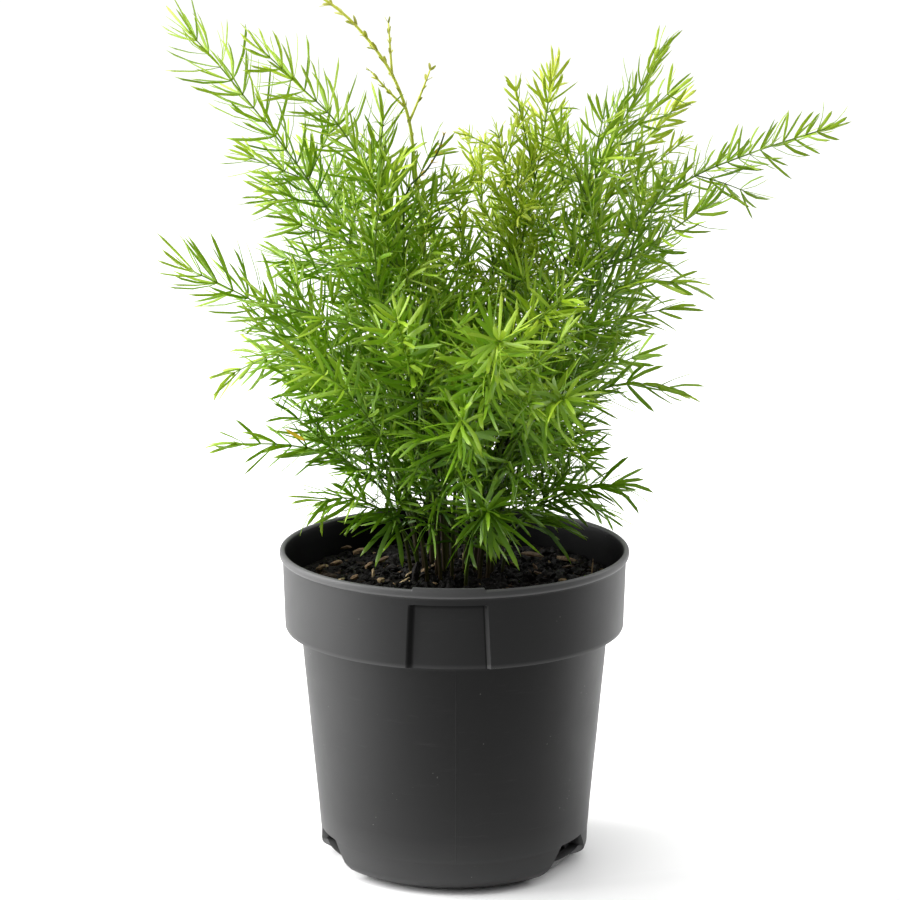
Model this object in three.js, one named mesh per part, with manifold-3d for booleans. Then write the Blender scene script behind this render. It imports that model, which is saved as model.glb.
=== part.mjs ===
// A foxtail fern, an asparagus with needle-like leaves, growing in its black nursery pot.
//
// Millimetres, +Z up. The origin is the centre of the pot's underside and -Y is the front, where the
// pot has its label panel. Each leafy stem is one solid: a tapered stem, its side twigs and its needle
// leaves. The stems stand in plain holes in the soil.

import * as THREE from "three";
import { mergeVertices } from "three/addons/utils/BufferGeometryUtils.js";
import Module from "manifold-3d";

const wasm = await Module();
wasm.setup();

// ---------------------------------------------------------------- driving dimensions

const GAP = 0.3; // clearance between touching pieces
const DEGREE = Math.PI / 180;
const FRONT = -90 * DEGREE; // direction of -Y, seen from above

// Pot
const RIM_HEIGHT = 134.6;
const LIP_RADIUS = 73.4;
const LIP_HEIGHT = 3.4;
const COLLAR_TOP_RADIUS = 72.3;
const COLLAR_LOW_RADIUS = 71.2;
const COLLAR_BOTTOM = 101;
const WALL_TOP_RADIUS = 64.8;
const WALL_LOW_RADIUS = 56.8;
const FOOT_HEIGHT = 13.5;
const FOOT_RADIUS = 46;
const WALL = 1.6;
const FLOOR = 2.2;
const POT_FACETS = 40;
const PANEL = { direction: FRONT - 1.9 * DEGREE, width: 33.6, radius: 69.5, top: 128 };
const LIP_TAB = { width: 30, radius: 72.9, rise: 0.9 };
// The recesses stand at these turns from the panel, wider towards the ground, each with a drain slot
// through its back.
const RECESS = {
  turns: [63, 115, 245, 292],
  spread: 17 * DEGREE,
  lowSpread: 50 * DEGREE,
  low: -5,
  radius: 50.5,
  height: 14.2,
};
const SLOT = { width: 11, low: 7.8, high: 12.6 };

// Soil
const SOIL_LEVEL = 119;
const SOIL_RELIEF = 1.5;
const SOIL_MOUND = { height: 4, radius: 46, back: 6 }; // where the soil is heaped round the stems
const SOIL_RINGS = [56, 42, 28, 14];
const SOIL_FACETS = 20;

// Leafy stems
const STEM_RADIUS = { root: 1.4, tip: 0.65 };
const TWIG_RADIUS = { root: 0.6, tip: 0.45 };
const HOLE_RADIUS = 2.2; // of the five-sided holes that the stems stand in
const STEM_STEP = 27; // length of one straight stretch of a stem
const TWIGLESS_BASE = { share: 0.24, least: 36 }; // length, from the root, that has no regular twigs
const TWIG_CLEARANCE = { soil: 19, rim: 4 }; // how far twigs and needles end above the soil and the rim
const RUN = { share: 0.36, least: 45, most: 95 }; // outer part of a stem that carries needles itself
const TWIG_SPACING = 27;
const TWIG_REACH = { share: 0.21, least: 25, most: 54, shrink: 0.35 };
const TWIG_ANGLE = { least: 44 * DEGREE, spread: 14 * DEGREE };
const NEEDLE = { length: 21, width: 2.1, thickness: 0.85, widest: 0.33 };
const NEEDLE_ANGLE = { stem: 44 * DEGREE, twig: 42 * DEGREE, end: 7 * DEGREE };
const NEEDLE_SPACING = 7.3;
const GOLDEN_TURN = 137.5 * DEGREE;
const SINK = 0.3; // how far a root starts behind the centre line of what it grows from
const TIP_SINK = 0.8; // how far an end needle starts inside the tip that it ends

// Routes of the stems' centre lines, from the end in the soil to the tip. kind: mature or young
// needles, or a bare new shoot.
const STEMS = [
  // to the left
  { kind: "mature", route: [[-8, 7, 102], [-8, 4, 165], [-23, 2, 218], [-45, 4, 264],
    [-64, 6, 294], [-93, 10, 331], [-108, 12, 348]] },
  { kind: "mature", route: [[-7, 0, 102], [-9, -5, 170], [-20, -11, 240], [-31, -14, 284],
    [-46, -17, 313], [-62, -19, 330], [-76, -22, 344]] },
  { kind: "bare", route: [[-3, 9, 102], [-6, 5, 190], [-12, 3, 256], [-16, 4, 292],
    [-19, 4, 315], [-27, 4, 335], [-42, 5, 354], [-58, 6, 366], [-71, 7, 372]] },
  { kind: "mature", route: [[-4, -3, 102], [-9, -11, 150], [-23, -23, 215], [-31, -30, 252],
    [-31, -35, 278], [-23, -40, 301]] },
  { kind: "mature", route: [[-3, 3, 102], [-7, 2, 165], [-17, -1, 235], [-26, -4, 280],
    [-30, -7, 300], [-29, -10, 315]] },
  { kind: "mature", route: [[-12, 2, 102], [-15, -2, 145], [-31, -7, 186], [-60, -11, 224],
    [-80, -13, 240], [-106, -16, 254]] },
  { kind: "mature", route: [[-14, 12, 102], [-19, 13, 148], [-37, 16, 184], [-56, 19, 206],
    [-70, 23, 212], [-82, 27, 209], [-93, 31, 203]] },
  { kind: "mature", route: [[-17, 3, 102], [-20, 0, 135], [-30, -5, 160], [-48, -7, 174],
    [-68, -9, 180], [-90, -10, 181]] },
  { kind: "mature", route: [[-14, -5, 102], [-16, -9, 132], [-24, -16, 149], [-36, -23, 159],
    [-46, -27, 162], [-54, -29, 161]] },
  // upright and to the right
  { kind: "young", route: [[3, 12, 102], [7, 9, 160], [16, 8, 208], [24, 9, 244], [30, 11, 272],
    [36, 14, 302], [40, 18, 329]] },
  { kind: "mature", route: [[7, 7, 102], [12, 6, 155], [27, 3, 198], [43, 3, 243], [54, 3, 280],
    [66, 3, 307], [75, 4, 325], [83, 4, 341]] },
  { kind: "mature", route: [[9, 1, 102], [14, -1, 155], [34, -5, 207], [58, -8, 248],
    [76, -9, 274], [95, -10, 291], [122, -13, 303], [149, -14, 312]] },
  { kind: "young", route: [[9, 14, 102], [16, 14, 165], [36, 14, 222], [60, 19, 271],
    [76, 23, 298], [92, 29, 316]] },
  { kind: "mature", route: [[13, -3, 102], [17, -6, 155], [34, -12, 202], [58, -16, 238],
    [74, -19, 250], [91, -22, 251]] },
  { kind: "mature", route: [[14, 13, 102], [18, 14, 150], [36, 16, 186], [57, 19, 215],
    [73, 22, 228], [89, 26, 231]] },
  { kind: "mature", route: [[15, 4, 102], [18, 0, 145], [32, -4, 177], [52, -7, 198],
    [70, -8, 206], [87, -9, 204]] },
  { kind: "mature", route: [[19, 8, 102], [22, 7, 132], [33, 7, 148], [47, 7, 156], [58, 8, 158],
    [68, 9, 159]] },
  { kind: "mature", route: [[16, 19, 102], [19, 21, 128], [29, 26, 141], [44, 31, 146],
    [54, 35, 145], [63, 38, 141]] },
  // towards the front
  { kind: "mature", route: [[4, -3, 102], [6, -14, 145], [9, -38, 182], [12, -65, 212],
    [15, -90, 233], [17, -112, 244]] },
  { kind: "mature", route: [[9, -7, 102], [12, -16, 140], [18, -33, 171], [27, -53, 195],
    [36, -73, 210], [43, -92, 217]] },
  { kind: "young", route: [[2, 2, 102], [7, -8, 155], [17, -29, 205], [30, -45, 235],
    [42, -62, 250]] },
  { kind: "mature", route: [[-1, -8, 102], [-1, -14, 135], [0, -33, 165], [2, -58, 190],
    [3, -85, 208]] },
  { kind: "mature", route: [[4, -13, 102], [5, -18, 128], [8, -30, 148], [11, -45, 160],
    [13, -59, 164]] },
  { kind: "mature", route: [[-5, -11, 102], [-7, -19, 145], [-12, -36, 195], [-19, -55, 226],
    [-23, -76, 246]] },
  { kind: "mature", route: [[-10, -9, 102], [-14, -18, 145], [-28, -36, 186], [-44, -51, 212],
    [-58, -62, 224]] },
  // the middle and the back
  { kind: "young", route: [[-1, 16, 102], [1, 19, 165], [9, 20, 222], [20, 23, 262],
    [23, 25, 285], [17, 28, 298], [6, 30, 304]] },
  { kind: "mature", route: [[-9, 15, 102], [-12, 20, 155], [-26, 37, 215], [-43, 56, 258],
    [-62, 76, 290]] },
  { kind: "mature", route: [[-2, 23, 102], [-4, 31, 150], [-8, 51, 200], [-12, 78, 236],
    [-14, 104, 256]] },
  { kind: "mature", route: [[4, 20, 102], [8, 28, 155], [22, 47, 210], [42, 66, 250],
    [64, 84, 280]] },
  { kind: "mature", route: [[-14, 19, 102], [-19, 24, 140], [-38, 41, 175], [-62, 57, 196],
    [-84, 73, 203]] },
  { kind: "mature", route: [[1, 27, 102], [1, 35, 135], [4, 57, 165], [8, 84, 182],
    [11, 110, 188]] },
  { kind: "mature", route: [[10, 24, 102], [15, 29, 138], [34, 45, 172], [58, 60, 194],
    [80, 73, 202]] },
  { kind: "mature", route: [[9, 19, 102], [13, 22, 160], [24, 32, 220], [34, 44, 265],
    [42, 56, 296]] },
  { kind: "mature", route: [[-8, 21, 102], [-11, 25, 160], [-20, 34, 220], [-28, 46, 262],
    [-33, 58, 292]] },
];

// Longer side shoots that fill the crown: the stem's number, how far along it they start, and their tip.
const SIDE_SHOOTS = [
  [1, 0.72, [-93, 4, 302]], [1, 0.62, [-91, -8, 281]], [1, 0.5, [-85, 14, 263]],
  [27, 0.6, [-71, 60, 266]], [27, 0.75, [-84, 84, 278]], [6, 0.5, [-64, -30, 251]],
  [6, 0.72, [-91, -22, 234]], [7, 0.5, [-80, 4, 231]], [8, 0.5, [-70, -20, 199]],
  [5, 0.8, [-10, -2, 300]], [10, 0.7, [18, -4, 308]], [10, 0.6, [52, 26, 297]],
  [26, 0.6, [-1, 6, 289]], [26, 0.7, [6, 40, 300]], [5, 0.6, [-10, -16, 279]],
  [11, 0.7, [60, -14, 316]], [11, 0.8, [89, 22, 323]], [13, 0.8, [99, 30, 304]],
  [13, 0.65, [87, 44, 283]], [12, 0.5, [84, 6, 262]], [12, 0.6, [98, -30, 281]],
  [12, 0.8, [118, -6, 286]], [14, 0.7, [89, -34, 251]], [15, 0.6, [99, 36, 233]],
  [14, 0.5, [77, 0, 239]], [17, 0.6, [55, -12, 180]], [16, 0.6, [52, -24, 178]],
  [19, 0.6, [33, -84, 231]], [24, 0.7, [-30, -52, 236]], [20, 0.6, [52, -70, 196]],
  [22, 0.8, [-14, -70, 196]], [5, 0.72, [-12, 4, 298]], [26, 0.4, [-6, 8, 258]],
  [5, 0.5, [3, -12, 262]], [10, 0.62, [26, -4, 296]], [10, 0.82, [25, 6, 326]],
  [33, 0.6, [14, 24, 262]],
];

// The crown's outline seen from the front: heights, and its left and right ends at each. Side twigs
// end inside it.
const CROWN = [
  [131, -23, 36], [144, -54, 53], [157, -58, 66], [169, -64, 61], [182, -72, 61], [195, -77, 69],
  [208, -83, 78], [220, -89, 74], [233, -91, 82], [246, -88, 88], [258, -79, 93], [271, -77, 103],
  [283, -83, 128], [296, -90, 132], [308, -98, 100], [345, -105, 92],
];
const CROWN_MARGIN = 8;
const VIEW = { distance: 1399, height: 488 }; // where the outline is seen from

// ---------------------------------------------------------------- materials

const MATERIALS = {
  pot: new THREE.MeshStandardMaterial({ color: 0x3b3c3e, roughness: 0.45, metalness: 0 }),
  soil: new THREE.MeshStandardMaterial({ color: 0x241d18, roughness: 0.95, metalness: 0 }),
  mature: new THREE.MeshStandardMaterial({ color: 0x5d9a2b, roughness: 0.5, metalness: 0 }),
  young: new THREE.MeshStandardMaterial({ color: 0x9cc63a, roughness: 0.5, metalness: 0 }),
  bare: new THREE.MeshStandardMaterial({ color: 0xb4bf52, roughness: 0.55, metalness: 0 }),
};

// ---------------------------------------------------------------- solids and meshes

// A closed three.js geometry as a solid that can be joined and cut. Triangles that collapse when
// shared corners are merged, such as those on a lathe's axis, are dropped.
function solid(geometry) {
  const bare = new THREE.BufferGeometry();
  bare.setAttribute("position", geometry.getAttribute("position"));
  if (geometry.index) bare.setIndex(geometry.index);
  const merged = mergeVertices(bare, 1e-4);
  const corners = merged.index.array;
  const triVerts = [];
  for (let i = 0; i < corners.length; i += 3) {
    const [a, b, c] = [corners[i], corners[i + 1], corners[i + 2]];
    if (a !== b && b !== c && c !== a) triVerts.push(a, b, c);
  }
  return new wasm.Manifold(
    new wasm.Mesh({
      numProp: 3,
      vertProperties: merged.attributes.position.array,
      triVerts: new Uint32Array(triVerts),
    }),
  );
}

function meshOf(name, body, material) {
  const { vertProperties, triVerts } = body.getMesh();
  const geometry = new THREE.BufferGeometry();
  geometry.setAttribute("position", new THREE.BufferAttribute(vertProperties, 3));
  geometry.setIndex(new THREE.BufferAttribute(triVerts, 1));
  geometry.computeVertexNormals();
  const mesh = new THREE.Mesh(geometry, material);
  mesh.name = name;
  return mesh;
}

// A profile of [radius, height] pairs turned round the Z axis.
function turned(profile, facets) {
  const points = profile.map(([radius, height]) => new THREE.Vector2(radius, height));
  return new THREE.LatheGeometry(points, facets).rotateX(Math.PI / 2);
}

// A block between two radii, two heights and two sides, centred on a direction. Its bottom can have a
// spread of its own.
function ringSector({ inner, outer, low, high, direction, spread, lowSpread = spread }) {
  const shape = new THREE.Shape();
  shape.absarc(0, 0, outer, -spread / 2, spread / 2, false);
  shape.absarc(0, 0, inner, spread / 2, -spread / 2, true);
  const block = new THREE.ExtrudeGeometry(shape, {
    depth: high - low,
    bevelEnabled: false,
    curveSegments: 4,
  });
  const corners = block.getAttribute("position");
  for (let i = 0; i < corners.count; i++) {
    const [x, y, z] = [corners.getX(i), corners.getY(i), corners.getZ(i)];
    const turn = direction + Math.atan2(y, x) * (z > 0 ? 1 : lowSpread / spread);
    corners.setXYZ(i, Math.hypot(x, y) * Math.cos(turn), Math.hypot(x, y) * Math.sin(turn), z + low);
  }
  return solid(block);
}

// ---------------------------------------------------------------- pot

// Radius of the tapering wall's outside at a height.
function wallRadius(z) {
  return THREE.MathUtils.mapLinear(z, FOOT_HEIGHT, COLLAR_BOTTOM, WALL_LOW_RADIUS, WALL_TOP_RADIUS);
}

// What the pot has pressed into it, as blocks that grow by a thickness: the outside is cut by the plain
// blocks and the inside keeps clear of the grown ones, so that the wall runs round each of them.
function pressedIn(grow) {
  const panel = ringSector({
    inner: PANEL.radius - grow,
    outer: LIP_RADIUS + 10,
    low: COLLAR_BOTTOM - 1 - grow,
    high: PANEL.top + grow,
    direction: PANEL.direction,
    spread: (PANEL.width + 2 * grow) / PANEL.radius,
  });
  const recesses = RECESS.turns.map((turn) =>
    ringSector({
      inner: RECESS.radius - grow,
      outer: WALL_TOP_RADIUS,
      low: RECESS.low,
      high: RECESS.height + grow,
      direction: PANEL.direction + turn * DEGREE,
      spread: RECESS.spread + (2 * grow) / RECESS.radius,
      lowSpread: RECESS.lowSpread + (2 * grow) / RECESS.radius,
    }),
  );
  return recesses.reduce((all, block) => all.add(block), panel);
}

function makePot() {
  const outside = turned(
    [
      [0, 0],
      [FOOT_RADIUS, 0],
      [FOOT_RADIUS + 4.4, 1.2],
      [FOOT_RADIUS + 9.4, 4.1],
      [FOOT_RADIUS + 10.5, 6.2],
      [WALL_LOW_RADIUS, FOOT_HEIGHT],
      [WALL_TOP_RADIUS, COLLAR_BOTTOM],
      [COLLAR_LOW_RADIUS, COLLAR_BOTTOM],
      [COLLAR_TOP_RADIUS, RIM_HEIGHT - LIP_HEIGHT - 0.4],
      [LIP_RADIUS, RIM_HEIGHT - LIP_HEIGHT],
      [LIP_RADIUS, RIM_HEIGHT - 0.9],
      [LIP_RADIUS - 0.9, RIM_HEIGHT],
      [0, RIM_HEIGHT],
    ],
    POT_FACETS,
  );
  const inside = turned(
    [
      [0, FLOOR],
      [FOOT_RADIUS - 0.5, FLOOR],
      [FOOT_RADIUS + 4, 3.2],
      [FOOT_RADIUS + 8.3, 6.4],
      [WALL_LOW_RADIUS - WALL, FOOT_HEIGHT + 0.2],
      [WALL_TOP_RADIUS - WALL, COLLAR_BOTTOM + 0.6],
      [COLLAR_LOW_RADIUS - WALL, COLLAR_BOTTOM + 2.4],
      [COLLAR_TOP_RADIUS - WALL, RIM_HEIGHT - 1],
      [COLLAR_TOP_RADIUS - WALL + 0.8, RIM_HEIGHT],
      [COLLAR_TOP_RADIUS - WALL + 0.8, RIM_HEIGHT + 5],
      [0, RIM_HEIGHT + 5],
    ],
    POT_FACETS,
  );
  const tab = ringSector({
    inner: COLLAR_LOW_RADIUS - WALL,
    outer: LIP_TAB.radius,
    low: RIM_HEIGHT - LIP_HEIGHT / 2,
    high: RIM_HEIGHT + LIP_TAB.rise,
    direction: PANEL.direction,
    spread: LIP_TAB.width / LIP_TAB.radius,
  });
  const slots = RECESS.turns.map((turn) =>
    ringSector({
      inner: RECESS.radius - 3 * WALL,
      outer: WALL_LOW_RADIUS,
      low: SLOT.low,
      high: SLOT.high,
      direction: PANEL.direction + turn * DEGREE,
      spread: SLOT.width / RECESS.radius,
    }),
  );
  const shell = solid(outside)
    .subtract(pressedIn(0))
    .add(tab)
    .subtract(solid(inside).subtract(pressedIn(WALL)));
  return slots.reduce((body, slot) => body.subtract(slot), shell);
}

// ---------------------------------------------------------------- leafy stems

// Repeatable draws between 0 and 1.
function drawsFrom(seed) {
  let count = 0;
  return () => {
    count += 1;
    const wave = Math.sin((seed * 97 + count) * 12.9898 + 78.233) * 43758.5453;
    return wave - Math.floor(wave);
  };
}

// Everything that later twigs and needles keep clear of: centre lines with a radius and an owner.
const limbs = [];

// True where a limb keeps clear of all other stems and, past its root, of its own stem's other limbs.
function isClear(line, radius, owner) {
  const pastRoot = new THREE.Line3(line.at(0.35, new THREE.Vector3()), line.end);
  return limbs.every((other) => {
    const own = other.owner === owner;
    const room = radius + other.radius + (own ? 0.1 : GAP + 0.1);
    return (own ? pastRoot : line).distanceSqToLine3(other.line) > room * room;
  });
}

// True where a point is above the soil and the pot's rim.
function isAbovePot(point) {
  const inside = Math.hypot(point.x, point.y) < WALL_TOP_RADIUS;
  return point.z > (inside ? SOIL_LEVEL + TWIG_CLEARANCE.soil : RIM_HEIGHT + TWIG_CLEARANCE.rim);
}

// True where a point, seen from the front, is inside the crown's outline by its margin.
function isInCrown(point) {
  const scale = VIEW.distance / (VIEW.distance + point.y);
  const across = point.x * scale;
  const height = VIEW.height + (point.z - VIEW.height) * scale;
  const above = CROWN.findIndex(([level]) => level > height);
  const to = above < 0 ? CROWN.length - 1 : Math.max(above, 1);
  const [low, high] = [CROWN[to - 1], CROWN[to]];
  const share = THREE.MathUtils.clamp((height - low[0]) / (high[0] - low[0]), 0, 1);
  const [left, right] = [1, 2].map((side) => THREE.MathUtils.lerp(low[side], high[side], share));
  return across > left + CROWN_MARGIN && across < right - CROWN_MARGIN;
}

// Direction that leaves a stem at an angle to it, turned round it.
function sideways(along, turn, angle) {
  const reference = new THREE.Vector3(0.37, -0.62, -0.69);
  const across = new THREE.Vector3().crossVectors(along, reference).normalize();
  return across
    .applyAxisAngle(along, turn)
    .multiplyScalar(Math.sin(angle))
    .addScaledVector(along, Math.cos(angle));
}

// A polygonal stem along a curve in equal straight stretches, thinner towards its tip.
function taperedTube(curve, steps, radius, sides) {
  const section = new THREE.Shape();
  for (let i = 0; i < sides; i++) {
    const turn = (2 * Math.PI * i) / sides;
    if (i === 0) section.moveTo(Math.cos(turn), Math.sin(turn));
    else section.lineTo(Math.cos(turn), Math.sin(turn));
  }
  const tube = new THREE.ExtrudeGeometry(section, { steps, bevelEnabled: false, extrudePath: curve });
  const centres = curve.getSpacedPoints(steps);
  const corners = tube.getAttribute("position");
  const corner = new THREE.Vector3();
  for (let i = 0; i < corners.count; i++) {
    corner.fromBufferAttribute(corners, i);
    const distances = centres.map((centre) => centre.distanceTo(corner));
    const ring = distances.indexOf(Math.min(...distances));
    const size = THREE.MathUtils.lerp(radius.root, radius.tip, ring / steps);
    corner.sub(centres[ring]).multiplyScalar(size).add(centres[ring]);
    corners.setXYZ(i, corner.x, corner.y, corner.z);
  }
  return tube;
}

// Places a geometry made along +Y so that it runs from a point along a direction.
function pointed(geometry, from, direction, upwards) {
  const across = new THREE.Vector3().crossVectors(upwards, direction).normalize();
  const outward = new THREE.Vector3().crossVectors(across, direction);
  const matrix = new THREE.Matrix4().makeBasis(across, direction, outward).setPosition(from);
  return geometry.applyMatrix4(matrix);
}

// A needle leaf: a slim three-sided spindle with a flat face and a low keel.
function needleBody(line, along) {
  const length = line.distance() + SINK;
  const spindle = new THREE.LatheGeometry(
    [new THREE.Vector2(0, 0), new THREE.Vector2(1, length * NEEDLE.widest), new THREE.Vector2(0, length)],
    3,
  );
  spindle.scale(NEEDLE.width / Math.sqrt(3), 1, NEEDLE.thickness / 1.5);
  const direction = line.delta(new THREE.Vector3()).normalize();
  const from = line.start.clone().addScaledVector(direction, -SINK);
  return solid(pointed(spindle, from, direction, along));
}

// A side twig: a slim three-sided taper.
function twigBody(line, along) {
  const length = line.distance() + SINK;
  const taper = new THREE.CylinderGeometry(TWIG_RADIUS.tip, TWIG_RADIUS.root, length, 3);
  taper.translate(0, length / 2, 0);
  const direction = line.delta(new THREE.Vector3()).normalize();
  const from = line.start.clone().addScaledVector(direction, -SINK);
  return solid(pointed(taper, from, direction, along));
}

// The route of a stem and what can be read off it.
function plan(stem, index) {
  const points = stem.route.map((point) => new THREE.Vector3(...point));
  const curve = new THREE.CatmullRomCurve3(points, false, "catmullrom", 0.5);
  const length = curve.getLength();
  const steps = Math.round(length / STEM_STEP);
  const nodes = curve.getSpacedPoints(steps);
  const run = THREE.MathUtils.clamp(RUN.share * length, RUN.least, RUN.most);
  const name = "leafy_stem_" + String(index + 1).padStart(2, "0");
  // The stem is a chain of straight stretches, so a place on it lies on one of them.
  const at = (distance) => {
    const place = THREE.MathUtils.clamp(distance / (length / steps), 0, steps - 1e-6);
    const first = Math.floor(place);
    const stretch = new THREE.Line3(nodes[first], nodes[first + 1]);
    return {
      point: stretch.at(place - first, new THREE.Vector3()),
      along: stretch.delta(new THREE.Vector3()).normalize(),
    };
  };
  return { ...stem, name, index, curve, length, steps, nodes, run, at, twigs: [] };
}

// A needle that leaves a limb at an angle, if there is room for it.
function tryNeedle(owner, from, along, turn, angle, length) {
  const direction = sideways(along, turn, angle);
  const line = new THREE.Line3(from.clone(), from.clone().addScaledVector(direction, length));
  const radius = NEEDLE.width / 2;
  if (!isAbovePot(line.end) || !isClear(line, radius, owner)) return null;
  limbs.push({ line, radius, owner });
  return needleBody(line, along);
}

// Adds a straight twig to a stem, the first of the tried tips that is clear of everything, if any is.
function addTwig(stem, { point, along }, tips) {
  const line = tips
    .filter((tip) => isAbovePot(tip) && isInCrown(tip))
    .map((tip) => new THREE.Line3(point, tip))
    .find((option) => isClear(option, TWIG_RADIUS.root, stem.name));
  if (!line) return;
  limbs.push({ line, radius: TWIG_RADIUS.root, owner: stem.name });
  stem.twigs.push({ line, along });
}

// The longer side shoots of a stem. One that would meet another stem is shortened until it is clear.
function addSideShoots(stem) {
  for (const [number, share, end] of SIDE_SHOOTS) {
    if (number !== stem.index + 1) continue;
    const place = stem.at(share * stem.length);
    const tip = new THREE.Vector3(...end);
    const tips = [1, 0.85, 0.7, 0.55, 0.4].map((size) => place.point.clone().lerp(tip, size));
    addTwig(stem, place, tips);
  }
}

// The side twigs of a stem at their regular spacing. A twig that would meet another stem is turned
// round its own stem, or shortened, until it is clear.
function addTwigs(stem) {
  const bare = Math.max(TWIGLESS_BASE.share * stem.length, TWIGLESS_BASE.least);
  const reach = THREE.MathUtils.clamp(TWIG_REACH.share * stem.length, TWIG_REACH.least, TWIG_REACH.most);
  const stretch = stem.length - stem.run - bare;
  const count = stem.kind === "bare" ? 0 : Math.max(Math.round(stretch / TWIG_SPACING), 0);
  const draw = drawsFrom(stem.index);
  for (let k = 0; k < count; k++) {
    const share = (k + 0.5) / count;
    const place = stem.at(bare + share * stretch);
    const turn = GOLDEN_TURN * (k + stem.index) + 0.5 * draw();
    const angle = TWIG_ANGLE.least + TWIG_ANGLE.spread * draw();
    const length = reach * (1 - TWIG_REACH.shrink * share) * (0.85 + 0.3 * draw());
    const tips = [1, 0.75, 0.55].flatMap((size) =>
      [0, 35, -35, 70, -70, 110, -110, 150, -150].map((swing) => {
        const direction = sideways(place.along, turn + swing * DEGREE, angle);
        return place.point.clone().addScaledVector(direction, length * size);
      }),
    );
    addTwig(stem, place, tips);
  }
}

function makeLeafyStem(stem) {
  let body = solid(taperedTube(stem.curve, stem.steps, STEM_RADIUS, 4));
  for (const { line, along } of stem.twigs) body = body.add(twigBody(line, along));
  const needles = [];
  // Each twig has a needle at its end and one on its side.
  stem.twigs.forEach(({ line }, k) => {
    const along = line.delta(new THREE.Vector3()).normalize();
    const end = line.at(1 - TIP_SINK / line.distance(), new THREE.Vector3());
    needles.push(tryNeedle(stem.name, end, along, k, NEEDLE_ANGLE.end, 0.8 * NEEDLE.length));
    const side = line.at(0.6, new THREE.Vector3());
    const turn = GOLDEN_TURN * k;
    needles.push(tryNeedle(stem.name, side, along, turn, NEEDLE_ANGLE.twig, 0.9 * NEEDLE.length));
  });
  // The outer run of the stem carries its needles itself, out to a last one that ends it.
  if (stem.kind !== "bare") {
    const count = Math.floor(stem.run / NEEDLE_SPACING);
    for (let k = 0; k < count; k++) {
      const { point, along } = stem.at(stem.length - (k + 0.6) * NEEDLE_SPACING);
      const length = NEEDLE.length * (k === 0 ? 0.75 : 1);
      needles.push(tryNeedle(stem.name, point, along, GOLDEN_TURN * k, NEEDLE_ANGLE.stem, length));
    }
    const { point, along } = stem.at(stem.length - TIP_SINK);
    needles.push(tryNeedle(stem.name, point, along, 0, NEEDLE_ANGLE.end, 0.7 * NEEDLE.length));
  }
  for (const needle of needles) if (needle) body = body.add(needle);
  return body;
}

// ---------------------------------------------------------------- soil

// Height of the soil's uneven top above its level.
function soilRelief(x, y) {
  const away = Math.hypot(x, y - SOIL_MOUND.back) / SOIL_MOUND.radius;
  const mound = SOIL_MOUND.height * Math.max(1 - away * away, 0);
  return mound + SOIL_RELIEF * (0.6 * Math.sin(x / 7 + 1) * Math.cos(y / 9) + 0.4 * Math.sin((x + y) / 5));
}

function makeSoil(stems) {
  const edge = COLLAR_TOP_RADIUS - WALL - 1;
  const skirt = RECESS.radius - WALL - 4 * GAP; // clears the slanting sides of the recesses
  const heap = turned(
    [
      [0, FLOOR + GAP],
      [FOOT_RADIUS - 2, FLOOR + GAP],
      [skirt, 6.5],
      [skirt, RECESS.height + WALL + GAP],
      [wallRadius(20) - WALL - GAP, 20],
      [WALL_TOP_RADIUS - WALL - GAP, COLLAR_BOTTOM + 1.2],
      [COLLAR_LOW_RADIUS - WALL - GAP - 0.2, COLLAR_BOTTOM + 3.2],
      [edge, SOIL_LEVEL],
      ...SOIL_RINGS.map((radius) => [radius, SOIL_LEVEL]),
      [0, SOIL_LEVEL],
    ],
    SOIL_FACETS,
  );
  const corners = heap.getAttribute("position");
  for (let i = 0; i < corners.count; i++) {
    const [x, y, z] = [corners.getX(i), corners.getY(i), corners.getZ(i)];
    if (z > SOIL_LEVEL - 1) corners.setZ(i, z + soilRelief(x, y));
  }
  let soil = solid(heap).subtract(
    ringSector({
      inner: PANEL.radius - WALL - GAP,
      outer: LIP_RADIUS,
      low: COLLAR_BOTTOM - 1 - WALL - GAP,
      high: RIM_HEIGHT,
      direction: PANEL.direction,
      spread: (PANEL.width + 2 * WALL + 2 * GAP) / PANEL.radius,
    }),
  );
  // One plain blind hole for each stem, along the stem's first straight stretch.
  for (const { nodes } of stems) {
    const direction = nodes[1].clone().sub(nodes[0]).normalize();
    const depth = nodes[1].distanceTo(nodes[0]) + 6;
    const hole = new THREE.CylinderGeometry(HOLE_RADIUS, HOLE_RADIUS, depth, 5);
    hole.translate(0, depth / 2 - 2 * GAP, 0);
    soil = soil.subtract(solid(pointed(hole, nodes[0], direction, new THREE.Vector3(1, 0, 0))));
  }
  return soil;
}

// ---------------------------------------------------------------- assembly

const stems = STEMS.map(plan);
for (const { nodes, name } of stems) {
  for (let i = 1; i < nodes.length; i++) {
    const line = new THREE.Line3(nodes[i - 1], nodes[i]);
    limbs.push({ line, radius: STEM_RADIUS.root, owner: name });
  }
}
stems.forEach(addSideShoots);
stems.forEach(addTwigs);

const plant = new THREE.Group();
plant.add(...stems.map((stem) => meshOf(stem.name, makeLeafyStem(stem), MATERIALS[stem.kind])));

const fern = new THREE.Group();
fern.add(meshOf("pot", makePot(), MATERIALS.pot));
fern.add(meshOf("soil", makeSoil(stems), MATERIALS.soil));
fern.add(plant);

export default fern;
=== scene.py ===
import math

import bmesh
import bpy
import numpy as np
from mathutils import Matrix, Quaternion, Vector, noise


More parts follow.
